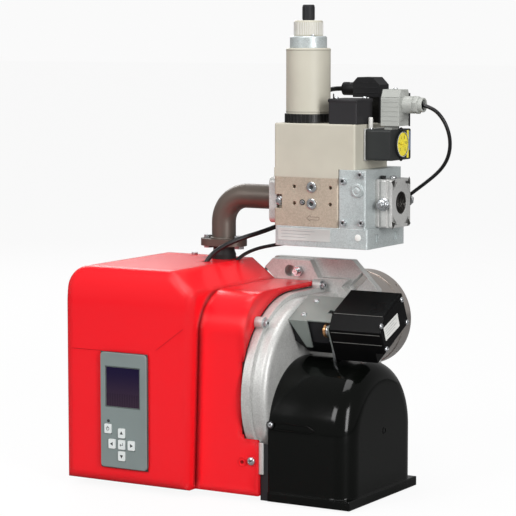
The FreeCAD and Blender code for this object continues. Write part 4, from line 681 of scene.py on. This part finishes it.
def makeValveFront(sizes):
    face = sizes["face"]

    def onFront(model, name, mark, **settings):
        x, z = sizes[mark]
        seatOnce(model, name, place(x, face, z), "-Y", **settings)

    for number, (x, z) in enumerate(sizes["screws"]):
        seat(socketScrew, f"blockScrew.{number}", place(x, face, z), "-Y", spin=number * sizes["screwSpin"])
    plug = makeSocketScrew(*metres(sizes["plug"]))
    washer = newRing(*metres(sizes["washer"]))
    for number, (x, z) in enumerate(sizes["plugs"]):
        spot = place(x, sizes["plugFace"], z)
        seat(plug, f"gaugePlug.{number}", spot, "-Y", spin=sizes["plugSpin"] + number)
        seat(washer, f"gaugeWasher.{number}", spot, "-Y", finish="bright_steel")
    discard(plug, washer)
    onFront(makeSocketScrew(*metres(sizes["bleedScrew"])), "bleedScrew", "bleed")
    onFront(newRing(*metres(sizes["bleedRing"])), "bleedRing", "bleed", finish="mark_dark")
    onFront(newRing(*metres(sizes["bossRing"])), "bossRing", "boss", finish="block_alloy")
    onFront(newDisc(*metres(sizes["bossMiddle"])), "bossMiddle", "boss", finish="block_alloy")
    half = sizes["arrowHalf"]
    neck, barb, stem = (half * share for share in sizes["arrowShape"])
    outline = (
        (-half, 0), (-neck, barb), (-neck, stem), (half, stem),
        (half, -stem), (-neck, -stem), (-neck, -barb), (-half, 0),
    )
    arrow = newLine(outline, sizes["arrowLine"])
    onFront(arrow, "flowArrow", "arrow", slot="valve_alloy", finish="engraved")
    dot = newDisc(*metres(sizes["dotSize"]), inset=sizes["dotBorder"])
    onFront(dot, "testDot", "dot", finish="label_white")
    label = newPlate(*metres(sizes["labelSize"]))
    onFront(label, "ratingPlate", "label", slot="sheet_steel", finish="label_silver")
    wide = sizes["labelSize"][0]
    x, z = sizes["label"]
    for row in range(sizes["rules"]):
        end = sizes["ruleEnd"] - row * sizes["ruleShorter"]
        line = newLine(((wide * sizes["ruleStart"], 0), (wide * end, 0)), sizes["ruleLine"])
        spot = place(x, face - sizes["ruleFace"], z + sizes["ruleTop"] - row * sizes["ruleStep"])
        seatOnce(line, f"ratingRule.{row}", spot, "-Y", slot="sheet_steel", finish="mark_grey")


makeValveFront(valveFront)

# Solenoid: grip of the brake's cap, splines of its stem, the coil's parting rings and the brake's screw.
# The cap's and the stem's last size is how far their ribs stand out.
solenoid = {
    "middle": (25, -74), "cap": (19.0, 17.0, 0.9), "capLow": 408.6, "capRidges": 44,
    "stem": (7.7, 17.0, 0.8), "stemLow": 429.5, "stemRidges": 14,
    "coil": 30.0, "coilRing": (0.35, -0.6, 1.2), "coilSides": 96, "coilRings": (305.5, 388.0),
    "screw": (2.4, 2.2), "screwAside": 15, "screwLow": 407.0,
}


def makeSolenoid(sizes):
    x, y = sizes["middle"]
    grip = newKnob(*metres(sizes["cap"]), sizes["capRidges"])
    spot = place(x, y, sizes["capLow"])
    seatOnce(grip, "capGrip", spot, slot="beige_plastic", body="flow_cap", finish="cap_white")
    splines = newKnob(*metres(sizes["stem"]), sizes["stemRidges"])
    seatOnce(splines, "stemSplines", place(x, y, sizes["stemLow"]), slot="black_plastic", body="flow_stem")
    outer, inner, height = sizes["coilRing"]
    coil = sizes["coil"]
    ring = newRing(*metres((coil + outer, coil + inner, height)), sizes["coilSides"])
    for number, z in enumerate(sizes["coilRings"]):
        seat(ring, f"coilRing.{number}", place(x, y, z), slot="beige_plastic", finish="beige_shade")
    discard(ring)
    aside = sizes["screwAside"]
    screw = makeSocketScrew(*metres(sizes["screw"]))
    seatOnce(screw, "brakeScrew", place(x + aside, y - aside, sizes["screwLow"]))


makeSolenoid(solenoid)

# Terminal box: its lid with two screws and a pin, and the test nipple beside it
terminals = {
    "lidSpare": 0.3, "lidHeight": 4, "lidBorder": 1.2, "lidRise": 1.0, "lidSink": 3.4, "lidEdge": 0.6,
    "screws": ((0.2, 0.16), (0.8, 0.84)), "screwRise": 1.4, "screwSpin": 0.7,
    "pin": (0.9, 7, 0.3, 0.6), "pinPlace": (7, 3, 0.6), "nipple": (3.1, 15, 0.9, 0.9), "nippleEdge": 0.5,
    "nipplePlace": (121, -76, 284), "nippleRing": (4.2, 3.0, 1.6),
}


def makeTerminals(sizes):
    middle, low, high = middleOf("terminal_box")
    size = high - low
    spare = sizes["lidSpare"] * mm
    lid = newBlock(size.x + spare, size.y + spare, sizes["lidHeight"] * mm)
    raiseTop(lid, sizes["lidBorder"] * mm, sizes["lidRise"] * mm)
    spot = (middle.x, middle.y, high.z - sizes["lidSink"] * mm)
    seatOnce(roundEdges(lid, sizes["lidEdge"] * mm), "terminalLid", spot, slot="terminal_black")
    for number, (x, y) in enumerate(sizes["screws"]):
        spot = (low.x + size.x * x, low.y + size.y * y, high.z + sizes["screwRise"] * mm)
        seat(panScrew, f"lidScrew.{number}", spot, spin=number * sizes["screwSpin"])
    pin = newStud(12, *metres(sizes["pin"]))
    spot = Vector((low.x, low.y, high.z)) + place(*sizes["pinPlace"])
    seatOnce(pin, "lidPin", spot, slot="terminal_black")
    nipple = roundEdges(newStud(24, *metres(sizes["nipple"])), sizes["nippleEdge"] * mm)
    seatOnce(nipple, "testNipple", place(*sizes["nipplePlace"]), finish="cap_white")
    seatOnce(newRing(*metres(sizes["nippleRing"])), "nippleRing", place(*sizes["nipplePlace"]))


makeTerminals(terminals)

# Grey plug of the pressure switch: its solid with the ending cut off, ribs on two faces, strap, screw, and a
# nut with a dark ring in its groove as painted shade, mouth and seal in its place
switchPlug = {
    "middle": (151.5, -64), "front": -80, "side": 165, "top": 337, "ribs": 6, "ribLow": 296, "ribStep": 6.2,
    "ribHalf": 12, "sideRibHalf": 13, "ribLine": (0.8, 0.3), "strap": (3.4, 44, 1.1), "strapEdge": 0.4,
    "strapPlace": (-50.2, 310), "screw": (3.0, 2.2), "ending": (14, 40, 40), "endingPlace": (187.5, -64, 297),
    "axis": (-64, 317), "edge": 0.5, "nut": (12.4, 6.5, 1.1, 0.6), "nutStart": 180.6, "nutSpin": 0.26,
    "grooveShade": (10.6, 8.0, 1.0), "grooveShadeStart": 179.8, "mouth": (9.6, 7.2, 7.0), "mouthStart": 186.8,
    "seal": (7.2, 3.0), "sealStart": 187,
}


def makeSwitchPlug(sizes):
    x, y = sizes["middle"]
    rib = newRail(sizes["ribHalf"], sizes["ribLine"])
    sideRib = newRail(sizes["sideRibHalf"], sizes["ribLine"])
    for number in range(sizes["ribs"]):
        z = sizes["ribLow"] + number * sizes["ribStep"]
        seat(rib, f"plugRib.{number}", place(x, sizes["front"], z), "-Y", slot="connector_grey")
        seat(sideRib, f"plugRibSide.{number}", place(sizes["side"], y, z), "+X", slot="connector_grey")
    discard(rib, sideRib)
    strap = roundEdges(newBlock(*metres(sizes["strap"])), sizes["strapEdge"] * mm)
    seatOnce(strap, "plugStrap", place(sizes["side"], *sizes["strapPlace"]), "+X", slot="connector_black")
    seatOnce(makePanScrew(*metres(sizes["screw"])), "plugScrew", place(x, y, sizes["top"]))
    shell = standIn("switch_connector")
    ending = newBlock(*metres(sizes["ending"]))
    ending.data.transform(Matrix.Translation(place(*sizes["endingPlace"])))
    finishShell(carve(shell, ending), "connector_grey")
    edge = sizes["edge"] * mm
    spot = place(sizes["nutStart"], *sizes["axis"])
    nut = roundEdges(newStud(6, *metres(sizes["nut"])), edge)
    seatOnce(nut, "switchNut", spot, "+X", slot="connector_grey", spin=sizes["nutSpin"])
    # a dark ring in the nut's groove: painted shade
    grooveShade = newRing(*metres(sizes["grooveShade"]))
    spot = place(sizes["grooveShadeStart"], *sizes["axis"])
    seatOnce(grooveShade, "switchGroove", spot, "+X", slot="connector_grey", finish="mark_dark")
    mouth = roundEdges(newRing(*metres(sizes["mouth"])), edge)
    seatOnce(mouth, "switchMouth", place(sizes["mouthStart"], *sizes["axis"]), "+X", slot="connector_grey")
    seal = newDisc(*metres(sizes["seal"]))
    seatOnce(seal, "switchSeal", place(sizes["sealStart"], *sizes["axis"]), "+X", slot="black_rubber")


makeSwitchPlug(switchPlug)

# Black plug of the valve: its solid with two upper edges cut, each at its place across, on its side and by
# its size, ribs on the front, and a nut and a collar round the cable
valvePlug = {
    "top": 352, "cuts": ((77, -1, 7), (117, 1, 10)), "cutLength": 120, "cutMiddle": -30,
    "ribs": 3, "ribHalf": 17, "ribLine": (0.9, 0.5), "ribLow": (97, -44, 331), "ribStep": 7,
    "axis": (-31, 336), "nut": 7.6, "reach": 21,
}


# cuts an edge that runs along Y at 45 degrees
def cutEdge(piece, sizes, x, side, size):
    size = size * mm
    tool = newBlock(size * 4, sizes["cutLength"] * mm, size * 4)
    out = Vector((side, 0, 1)).normalized()
    spot = place(x, sizes["cutMiddle"], sizes["top"]) + out * (size * 2 - size / math.sqrt(2))
    turned = Matrix.Translation(spot) @ Matrix.Rotation(math.pi / 4, 4, "Y")
    tool.data.transform(turned @ Matrix.Translation((0, 0, -size * 2)))
    carve(piece, tool)


def makeValvePlug(sizes):
    shell = standIn("valve_connector")
    for x, side, size in sizes["cuts"]:
        cutEdge(shell, sizes, x, side, size)
    finishShell(shell, "connector_black")
    rib = newRail(sizes["ribHalf"], sizes["ribLine"])
    x, y, z = sizes["ribLow"]
    for number in range(sizes["ribs"]):
        spot = place(x, y, z + number * sizes["ribStep"])
        seat(rib, f"connectorRib.{number}", spot, "-Y", slot="connector_black")
    discard(rib)
    _, low, _ = middleOf("valve_connector")
    start = place(0, *sizes["axis"]) + Vector((low.x, 0, 0))
    along = Vector((sizes["reach"] * mm, 0, 0))
    radius, reach = sizes["nut"] * mm, along.x
    nut = newStud(6, radius / math.sqrt(3) * 2, reach * 0.32, radius * 0.06, radius * 0.03)
    spot = start + along * 0.75
    seatOnce(roundEdges(nut, radius * 0.04), "valve_connectorNut", spot, "-X", slot="connector_black")
    collar = newDisc(radius * 0.88, reach * 0.3, 0.3, 0.5)
    seatOnce(collar, "valve_connectorCollar", start + along * 0.24, "-X", slot="connector_black")


makeValvePlug(valvePlug)

# Pressure switch: collar and lip round the dial, its numbers, ticks, slot and pointer, two screws, two bare
# labels, and the plate that the switch stands on. Collar, lip and plate are wider than what they go round
# by the sizes given, and the last is their height.
gasSwitch = {
    "face": 155.0, "sides": 72, "collar": (1.9, 0.4, 0.6), "collarEdge": 0.4, "lip": (1.2, 0.5, 0.5),
    "lipRise": 0.4, "lipEdge": 0.15, "numbers": ("2", "4", "6", "8", "10", "12"), "sweep": 270, "first": 225,
    "figure": (5.4, 0.05), "figureReach": 0.62, "ticks": (0.84, 0.96), "tickLine": (0.5, 0.1),
    "hub": (3.4, 1.0), "hubSlot": (5, 0.9, 4), "pointer": (1.7, 0.5, 0.3, 0.1), "pointerPlace": (1.0, 1.8),
    "screwReach": 0.46, "strip": 7.5, "stripGaps": (2.4, 1.0), "stripPlate": (0.5, 0.5),
    "labelGaps": (0.8, 1.2), "labelPlate": (0.5, 0.4), "labelTall": 0.7, "labelLift": 0.12, "labelSpare": 4,
    "plate": (1.2, 1.6, 3.2), "plateEdge": 1.2, "plateStart": 114.9,
}


def makeDial(sizes):
    middle, low, high = middleOf("pressure_dial")
    radius = (high.y - low.y) / 2
    spot = Vector((high.x, middle.y, middle.z))
    base = Vector((sizes["face"] * mm, middle.y, middle.z))
    outer, inner, proud = metres(sizes["collar"])
    collar = newRing(radius + outer, radius + inner, high.x - base.x + proud, sizes["sides"])
    roundEdges(collar, sizes["collarEdge"] * mm)
    seatOnce(collar, "dialCollar", base, "+X", slot="switch_black")
    outer, inner, proud = metres(sizes["lip"])
    lip = roundEdges(newRing(radius + outer, radius + inner, proud, sizes["sides"]), sizes["lipEdge"] * mm)
    rise = place(sizes["lipRise"], 0, 0)
    seatOnce(lip, "dialLip", spot + rise, "+X", slot="switch_black", finish="clear_plastic")
    tick = newStroke([(radius * share, 0) for share in sizes["ticks"]], *metres(sizes["tickLine"]))
    onDial = {"slot": "dial_yellow", "body": "dial"}
    for number, text in enumerate(sizes["numbers"]):
        angle = math.radians(sizes["first"] - sizes["sweep"] * number / (len(sizes["numbers"]) - 1))
        out = Vector((0, math.cos(angle), math.sin(angle))) * radius * sizes["figureReach"]
        figure = newNumber(text, *metres(sizes["figure"]))
        seatOnce(figure, f"dialNumber.{number}", spot + out, "+X", finish="mark_dark", **onDial)
        seat(tick, f"dialTick.{number}", spot, "+X", spin=angle, finish="mark_dark", **onDial)
    discard(tick)
    hub = carve(newDisc(*metres(sizes["hub"])), newBlock(*metres(sizes["hubSlot"])))
    seatOnce(hub, "dialSlot", spot, "+X", **onDial)
    pointer = newStud(3, *metres(sizes["pointer"]))
    rise, gap = metres(sizes["pointerPlace"])
    above = spot + Vector((rise, 0, radius + gap))
    seatOnce(pointer, "dialPointer", above, "+X", slot="switch_black", spin=math.pi / 2, finish="mark_dark")
    return base, radius


def makeGasSwitch(sizes):
    base, radius = makeDial(sizes)
    middle, low, high = middleOf("pressure_switch")
    size = high - low
    for number, side in enumerate((1, -1)):
        spot = base + Vector((0, 0, side * size.z * sizes["screwReach"]))
        settings = {"slot": "switch_black", "finish": "connector_black", "spin": side}
        seat(panScrew, f"dialScrew.{number}", spot, "+X", **settings)
    gap, rest = metres(sizes["stripGaps"])
    start = base.y + radius + gap
    wide = min(sizes["strip"] * mm, (high.y - start - rest) * 0.5)
    tall = size.z - sizes["labelSpare"] * mm
    strip = newPlate(wide, tall, *metres(sizes["stripPlate"]))
    seatOnce(strip, "yellowStrip", (base.x, start + wide / 2, middle.z), "+X", slot="dial_yellow")
    gap, rest = metres(sizes["labelGaps"])
    start = start + wide + gap
    wide = high.y - start - rest
    label = newPlate(wide, tall * sizes["labelTall"], *metres(sizes["labelPlate"]))
    spot = (base.x, start + wide / 2, middle.z + tall * sizes["labelLift"])
    seatOnce(label, "switchLabel", spot, "+X", slot="switch_black", finish="label_blue")
    across, up, thick = metres(sizes["plate"])
    plate = roundEdges(newBlock(size.y + across, size.z + up, thick), sizes["plateEdge"] * mm, 3)
    spot = (sizes["plateStart"] * mm, middle.y, middle.z)
    seatOnce(plate, "switchPlate", spot, "+X", finish="cast_alloy")


makeGasSwitch(gasSwitch)
print("valve dressed")

# Thread of the gas inlet, just inside the bore: a dark liner as painted shade of the bore, and its crests,
# darkened as painted shade too
inletThread = {
    "mouth": (156, -54, 186), "radius": 15.0, "pitch": 2.3, "turns": 10, "sides": 64, "shadeLiner": 0.35,
    "shadeLinerStart": 0.3, "crest": 0.95, "crestShare": 0.4,
}


def makeInletThread(sizes):
    radius, pitch, turnCount, sides = sizes["radius"], sizes["pitch"], sizes["turns"], sizes["sides"]
    shadeLiner = newRing(*metres((radius, radius - sizes["shadeLiner"], pitch * turnCount)), sides)
    crest = newRing(*metres((radius, radius - sizes["crest"], pitch * sizes["crestShare"])), sides)
    x, y, z = sizes["mouth"]
    spot = place(x - sizes["shadeLinerStart"], y, z)
    seatOnce(shadeLiner, "threadLiner", spot, "-X", slot="galvanised", finish="recess_painted_shade")
    for number in range(turnCount):
        spot = place(x - (number + 0.5) * pitch, y, z)
        seat(crest, f"threadCrest.{number}", spot, "-X", slot="galvanised", finish="shaded_thread_crest")
    discard(crest)


makeInletThread(inletThread)

# Inlet flange: bolts with shanks at front and back, two fittings on its top, and a dark pocket in each
# corner as painted shade, given by its place and its turn in degrees
inletFittings = {
    "front": (144, -81, 185), "back": (145, -15, 186.5), "shank": (4.2, 14, 0.8, 0.6), "backShank": 13,
    "bolt": (13, 7.5, 8.6), "spins": (0.35, 0.1), "fitting": (4.6, 4.0), "fittingShape": (0.22, 0.3),
    "top": (147, -60, 218), "cap": (3.4, 4.2, 0.5), "capRidges": 8, "capPlace": (137, -70, 218),
    "pocket": (6.2, 0.35, 0.4, 0.05), "pocketFace": 155.8,
    "pockets": ((-76.6, 157.8, 45), (-31.4, 157.8, 135), (-31.4, 213.5, -135), (-76.6, 213.5, -45)),
}


def makeInletFittings(sizes):
    shank = newStud(24, *metres(sizes["shank"]))
    x, y, z = sizes["back"]
    seat(shank, "inletShank.back", place(x, y - sizes["backShank"], z), "+Y")
    seat(shank, "inletShank.front", place(*sizes["front"]), "-Y")
    bolt = makeHexBolt(*metres(sizes["bolt"]))
    frontSpin, backSpin = sizes["spins"]
    seat(bolt, "inletBolt.front", place(*sizes["front"]), "-Y", spin=frontSpin)
    seat(bolt, "inletBolt.back", place(*sizes["back"]), "+Y", spin=backSpin)
    fitting = newDisc(*metres(sizes["fitting"]), *sizes["fittingShape"])
    seatOnce(fitting, "topFitting", place(*sizes["top"]))
    pocket = newStud(3, *metres(sizes["pocket"]))
    for number, (y, z, turn) in enumerate(sizes["pockets"]):
        spot, spin = place(sizes["pocketFace"], y, z), math.radians(turn)
        settings = {"slot": "galvanised", "finish": "recess_painted_shade", "spin": spin}
        seat(pocket, f"cornerPocketShade.{number}", spot, "+X", **settings)
    discard(shank, bolt, pocket)
    cap = newKnob(*metres(sizes["cap"]), sizes["capRidges"])
    seatOnce(cap, "topCap", place(*sizes["capPlace"]), slot="black_rubber")


makeInletFittings(inletFittings)

# Outlet: the bolt in the valve's pocket, and the weld bead under the elbow
outletFittings = {
    "bolt": (9, 4.5, 6.2), "boltPlace": (-3, -101, 185.5), "boltSpin": 0.3, "weldPlace": (-121, -54, 125.5),
    "weld": (17.6, 1.7), "weldSegments": (64, 10), "ripple": 0.25, "ripples": 32,
}


def makeOutletFittings(sizes):
    bolt = makeHexBolt(*metres(sizes["bolt"]))
    seatOnce(bolt, "pocketBolt", place(*sizes["boltPlace"]), "-Y", spin=sizes["boltSpin"])
    clearSelection()
    major, minor = metres(sizes["weld"])
    around, across = sizes["weldSegments"]
    bpy.ops.mesh.primitive_torus_add(
        major_radius=major, minor_radius=minor, major_segments=around, minor_segments=across,
    )
    bead = bpy.context.object
    for vertex in bead.data.vertices:
        angle = math.atan2(vertex.co.y, vertex.co.x)
        vertex.co.z += sizes["ripple"] * mm * math.sin(angle * sizes["ripples"])
    makeActive(bead)
    bpy.ops.object.shade_smooth()
    seatOnce(bead, "weldBead", place(*sizes["weldPlace"]), slot="pipe_steel")


makeOutletFittings(outletFittings)
print("flanges dressed")

# Control panel: signs on the keys, a dark rim, the status lamp and a thin frame round the display. A key's
# sign is a kind, or an arrow that points so many degrees up from the right.
panel = {
    "keys": {
        "key_reset": "ring", "key_up": 90, "key_left": 180, "key_enter": "enter", "key_right": 0,
        "key_down": -90,
    },
    "arrow": (3.0, 0.08, 0.2, 0.04), "ring": (2.6, 1.9, 0.1), "ringSides": 32, "bar": ((0, 0.6), (0, 3.2)),
    "barLine": (0.7, 0.12), "enter": ((2.2, 2.4), (2.2, -0.6), (-2.2, -0.6)),
    "barb": ((-0.8, 0.8), (-2.2, -0.6), (-0.8, -2.0)), "enterLine": (0.7, 0.1),
    "rim": (1.6, 1.0), "rimEdge": 0.4, "rimFace": -244.6, "lamp": (2.0, 0.8),
    "lampPlace": (-185.8, -248.0, -109.9), "frameInset": 0.6, "frameLine": (0.9, 0.35),
}


def makeSign(sizes, kind):
    if kind == "ring":
        ring = newRing(*metres(sizes["ring"]), sizes["ringSides"])
        return joinAll([ring, newLine(sizes["bar"], sizes["barLine"])])
    if kind == "enter":
        return joinAll([newLine(sizes[part], sizes["enterLine"]) for part in ("enter", "barb")])
    sign = newStud(3, *metres(sizes["arrow"]))
    sign.data.transform(Matrix.Rotation(math.radians(kind - 90), 4, "Z"))
    return sign


def makePanel(sizes):
    for node, kind in sizes["keys"].items():
        middle, low, _ = middleOf(node)
        spot = (middle.x, low.y, middle.z)
        sign = makeSign(sizes, kind)
        seatOnce(sign, node + "Sign", spot, "-Y", slot="key_white", body=node, finish="mark_dark")
    middle, low, high = middleOf("panel_frame")
    wider, thick = metres(sizes["rim"])
    rim = newBlock(high.x - low.x + wider, high.z - low.z + wider, thick)
    roundEdges(rim, sizes["rimEdge"] * mm)
    spot = (middle.x, sizes["rimFace"] * mm, middle.z)
    seatOnce(rim, "panelRim", spot, "-Y", slot="panel_grey", finish="mark_dark")
    lamp = newDisc(*metres(sizes["lamp"]))
    seatOnce(lamp, "statusLamp", place(*sizes["lampPlace"]), "-Y", slot="panel_grey", finish="mark_dark")
    middle, low, high = middleOf("display_window")
    inset = sizes["frameInset"] * mm
    wide, tall = (high.x - low.x) / 2 - inset, (high.z - low.z) / 2 - inset
    outline = [(-wide, -tall), (wide, -tall), (wide, tall), (-wide, tall), (-wide, -tall)]
    border = newStroke(outline, *metres(sizes["frameLine"]))
    spot = (middle.x, low.y, middle.z)
    seatOnce(border, "displayFrame", spot, "-Y", slot="panel_grey", finish="panel_shade")


makePanel(panel)

# Cover: its front screw, the round dimple beside it with a darker floor as painted shade, and two creases in
# darker red as painted shade, drawn by their ends across and up
coverTrim = {
    "screw": (5.4, 3.4), "screwPlace": (24, -223.6, -148.5), "screwSpin": 0.5,
    "dimple": (6.6, 5.4, 0.8), "dimpleShade": (2.4, 0.4), "dimplePlace": (9.0, -222.0, -151.2),
    "creases": (((-248.6, -15.7), (-199.2, -15.4)), ((-111.0, -8.8), (-69.1, 21.9))),
    "creaseLine": (0.45, 0.12), "creaseFace": -244.0,
}


def makeCoverTrim(sizes):
    screw = makePanScrew(*metres(sizes["screw"]))
    seatOnce(screw, "coverScrew.front", place(*sizes["screwPlace"]), "-Y", spin=sizes["screwSpin"])
    spot = place(*sizes["dimplePlace"])
    seatOnce(newRing(*metres(sizes["dimple"])), "coverDimple", spot, "-Y", slot="red_paint")
    # the dimple's floor is darker red, as painted shade
    floor = newDisc(*metres(sizes["dimpleShade"]))
    seatOnce(floor, "coverDimpleFloor", spot, "-Y", slot="red_paint", finish="red_painted_shade")
    spot = place(0, sizes["creaseFace"], 0)
    # the creases are darker red, as painted shade
    for number, ends in enumerate(sizes["creases"]):
        crease = newLine(ends, sizes["creaseLine"])
        seatOnce(crease, f"coverCrease.{number}", spot, "-Y", slot="red_paint", finish="red_painted_shade")


makeCoverTrim(coverTrim)
print("cover dressed")

# Servomotor: seams of its covers, lighter as painted highlights, a bare plate with rules, the screws of its
# end, and the bracket's screws.
# It is tilted about its pivot, and places on it are along X, across and up, in its own tilted frame.
servo = {
    "pivot": (-155.0, 22.0), "tilt": 26.0, "start": 110.0, "end": 186.0, "seamHighlightShorter": 5,
    "seamHighlights": {"front": (-12, 6, "-Y"), "frontLow": (-12, -9, "-Y"), "top": (6, 24, "+Z")},
    "seamHighlightLine": (0.8, 0.35), "label": (18.3, 0.8), "labelSize": (42, 19, 0.5, 0.6), "labelTilt": -4.5,
    "rules": 4, "ruleStart": -0.4, "ruleEnds": (0.34, 0.21), "ruleLine": (0.5, 0.08), "ruleFace": 0.36,
    "ruleTop": 6, "ruleStep": 3.6, "screws": ((-7, 18), (58, 18), (-7, -17), (58, -17)), "screwSpin": 0.5,
    "bracketTop": 14.0, "bracketScrews": ((62, 12), (64, 46)), "bracketSpin": 0.4,
}


def makeServoTrim(sizes):
    tilt = Matrix.Rotation(math.radians(sizes["tilt"]), 4, "X")
    pivot = place(0, *sizes["pivot"])
    start, end = sizes["start"], sizes["end"]

    def seatOn(model, name, x, across, up, axis, **settings):
        seat(model, name, tilt.to_3x3() @ place(x, across, up) + pivot, tilt @ turns[axis], **settings)

    # the seams are drawn lighter than the servo's black, as painted highlights
    seamHighlight = newRail((end - start - sizes["seamHighlightShorter"]) / 2, sizes["seamHighlightLine"])
    highlighted = {"slot": "servo_black", "finish": "servo_highlight"}
    for name, (across, up, axis) in sizes["seamHighlights"].items():
        seatOn(seamHighlight, "servoSeam." + name, (start + end) / 2, across, up, axis, **highlighted)
    spin = math.radians(sizes["labelTilt"])
    plate = newPlate(*metres(sizes["labelSize"]))
    across, up = sizes["label"]
    seatOn(plate, "servoLabel", end, across, up, "+X", slot="servo_black", spin=spin, finish="label_white")
    discard(seamHighlight, plate)
    wide = sizes["labelSize"][0]
    for row in range(sizes["rules"]):
        run = ((wide * sizes["ruleStart"], 0), (wide * sizes["ruleEnds"][row % 2], 0))
        rule = newLine(run, sizes["ruleLine"])
        height = up + sizes["ruleTop"] - sizes["ruleStep"] * row
        settings = {"slot": "servo_black", "spin": spin, "finish": "mark_grey"}
        seatOn(rule, f"servoRule.{row}", end + sizes["ruleFace"], across, height, "+X", **settings)
        discard(rule)
    for number, (across, up) in enumerate(sizes["screws"]):
        seatOn(panScrew, f"servoScrew.{number}", end, across, up, "+X", spin=number * sizes["screwSpin"])
    for number, (x, across) in enumerate(sizes["bracketScrews"]):
        spin = sizes["bracketSpin"] + number
        seatOn(panScrew, f"bracketScrew.{number}", x, across, sizes["bracketTop"], "+Z", spin=spin)


makeServoTrim(servo)

# Intake box: the washer and screw at the end of its channel, the channel's ridge, and a round mould mark
intakeTrim = {
    "washer": (5.2, 2.6, 0.9), "screwPlace": (48.5, -216, -99), "screwSpin": 0.3,
    "ridge": ((-30, 5), (22, 4), (32, -1), (24, -5), (-30, -4.5)), "ridgeLine": (1.5, 1.6),
    "ridgePlace": (82, -215.6, -100), "mark": (4.6, 3.4, 0.6), "markPlace": (165.0, -116.6, -111.4),
}


def makeIntakeTrim(sizes):
    spot = place(*sizes["screwPlace"])
    seatOnce(newRing(*metres(sizes["washer"])), "channelWasher", spot, "-Y", slot="black_plastic")
    seat(panScrew, "channelScrew", spot, "-Y", spin=sizes["screwSpin"])
    ridge = newLine(sizes["ridge"], sizes["ridgeLine"])
    seatOnce(ridge, "channelRidge", place(*sizes["ridgePlace"]), "-Y", slot="gloss_black")
    mark = newRing(*metres(sizes["mark"]))
    seatOnce(mark, "mouldMark", place(*sizes["markPlace"]), "+X", slot="gloss_black")


makeIntakeTrim(intakeTrim)

# Casing: washers and sockets of the four bolts that hold its halves together
casingTrim = {
    "bolts": ((-32, 65), (-188.8, 30.7), (-186.3, -158.2), (-72.3, -164.3)), "socket": (4.3, 1.6),
    "socketStart": 27.6, "socketSpin": 0.4, "washer": (6.6, 5.9, 0.9), "washerStart": 24,
}


def makeCasingTrim(sizes):
    socket = makeSocketScrew(*metres(sizes["socket"]))
    washer = newRing(*metres(sizes["washer"]))
    for number, (y, z) in enumerate(sizes["bolts"]):
        spot, spin = place(sizes["socketStart"], y, z), sizes["socketSpin"] * number
        seat(socket, f"casingSocket.{number}", spot, "+X", spin=spin)
        seat(washer, f"casingWasher.{number}", place(sizes["washerStart"], y, z), "+X")
    discard(socket, washer)


makeCasingTrim(casingTrim)
discard(socketScrew, panScrew)
print("servo, intake and casing dressed")

# Floor, world and lamps, each lamp with its name, place, width, height and power
studio = {
    "floorDrop": 0.003, "floorSize": 60.0, "floorRoughness": 0.7, "floorColor": (0.80, 0.80, 0.80),
    "shadeColor": (0.22, 0.22, 0.22), "seenWhite": 0.92, "worldColor": (1, 1, 1, 1),
    "worldStrength": 0.36, "worldSeen": 0.957, "lampAim": (0, -0.05, 0.1),
    "lamps": (
        ("rightLamp", (2.4, -1.5, 0.85), 0.6, 1.5, 52.0), ("frontLamp", (-0.8, -2.9, 1.7), 1.1, 1.1, 49.0),
        ("topLamp", (0.1, -0.3, 2.6), 1.3, 1.3, 32.0), ("backLamp", (-2.0, 1.8, 1.4), 1.2, 1.2, 24.0),
    ),
}


# the floor looks pale to the camera and is darker for the light that it throws back
def makeFloor(sizes):
    clearSelection()
    low = cadBox[0].z - sizes["floorDrop"]
    bpy.ops.mesh.primitive_plane_add(size=sizes["floorSize"], location=(0, 0, low))
    floor = bpy.context.object
    floor.name = "floor"
    finish = Finish("paleFloor", sizes["shadeColor"], sizes["floorRoughness"])
    rays = finish.node("LightPath", out="Is Camera Ray")
    finish.set("Base Color", finish.mix(rays, sizes["shadeColor"], sizes["floorColor"]))
    plain = Wire(finish, finish.shader.outputs[0])
    finish.showCamera("Material Output", plain, finish.node("Emission"), sizes["seenWhite"])
    floor.data.materials.append(finish.material)


def makeWorld(sizes):
    world = bpy.data.worlds.new("studio")
    bpy.context.scene.world = world
    world.use_nodes = True
    nodes = Nodes(world.node_tree)
    plain, seen = (
        nodes.node("Background", None, {"Color": sizes["worldColor"], "Strength": sizes[strength]})
        for strength in ("worldStrength", "worldSeen")
    )
    nodes.showCamera("World Output", plain, seen)


def makeLamps(sizes):
    for name, spot, wide, high, power in sizes["lamps"]:
        data = bpy.data.lights.new(name, "AREA")
        data.shape, data.size, data.size_y, data.energy = "RECTANGLE", wide, high, power
        lamp = bpy.data.objects.new(name, data)
        bpy.context.scene.collection.objects.link(lamp)
        lamp.location = spot
        lamp.rotation_mode = "QUATERNION"
        lamp.rotation_quaternion = (Vector(sizes["lampAim"]) - Vector(spot)).to_track_quat("-Z", "Y")


makeFloor(studio)
makeWorld(studio)
makeLamps(studio)
bpy.context.scene.view_settings.view_transform = "Standard"
print("studio ready")
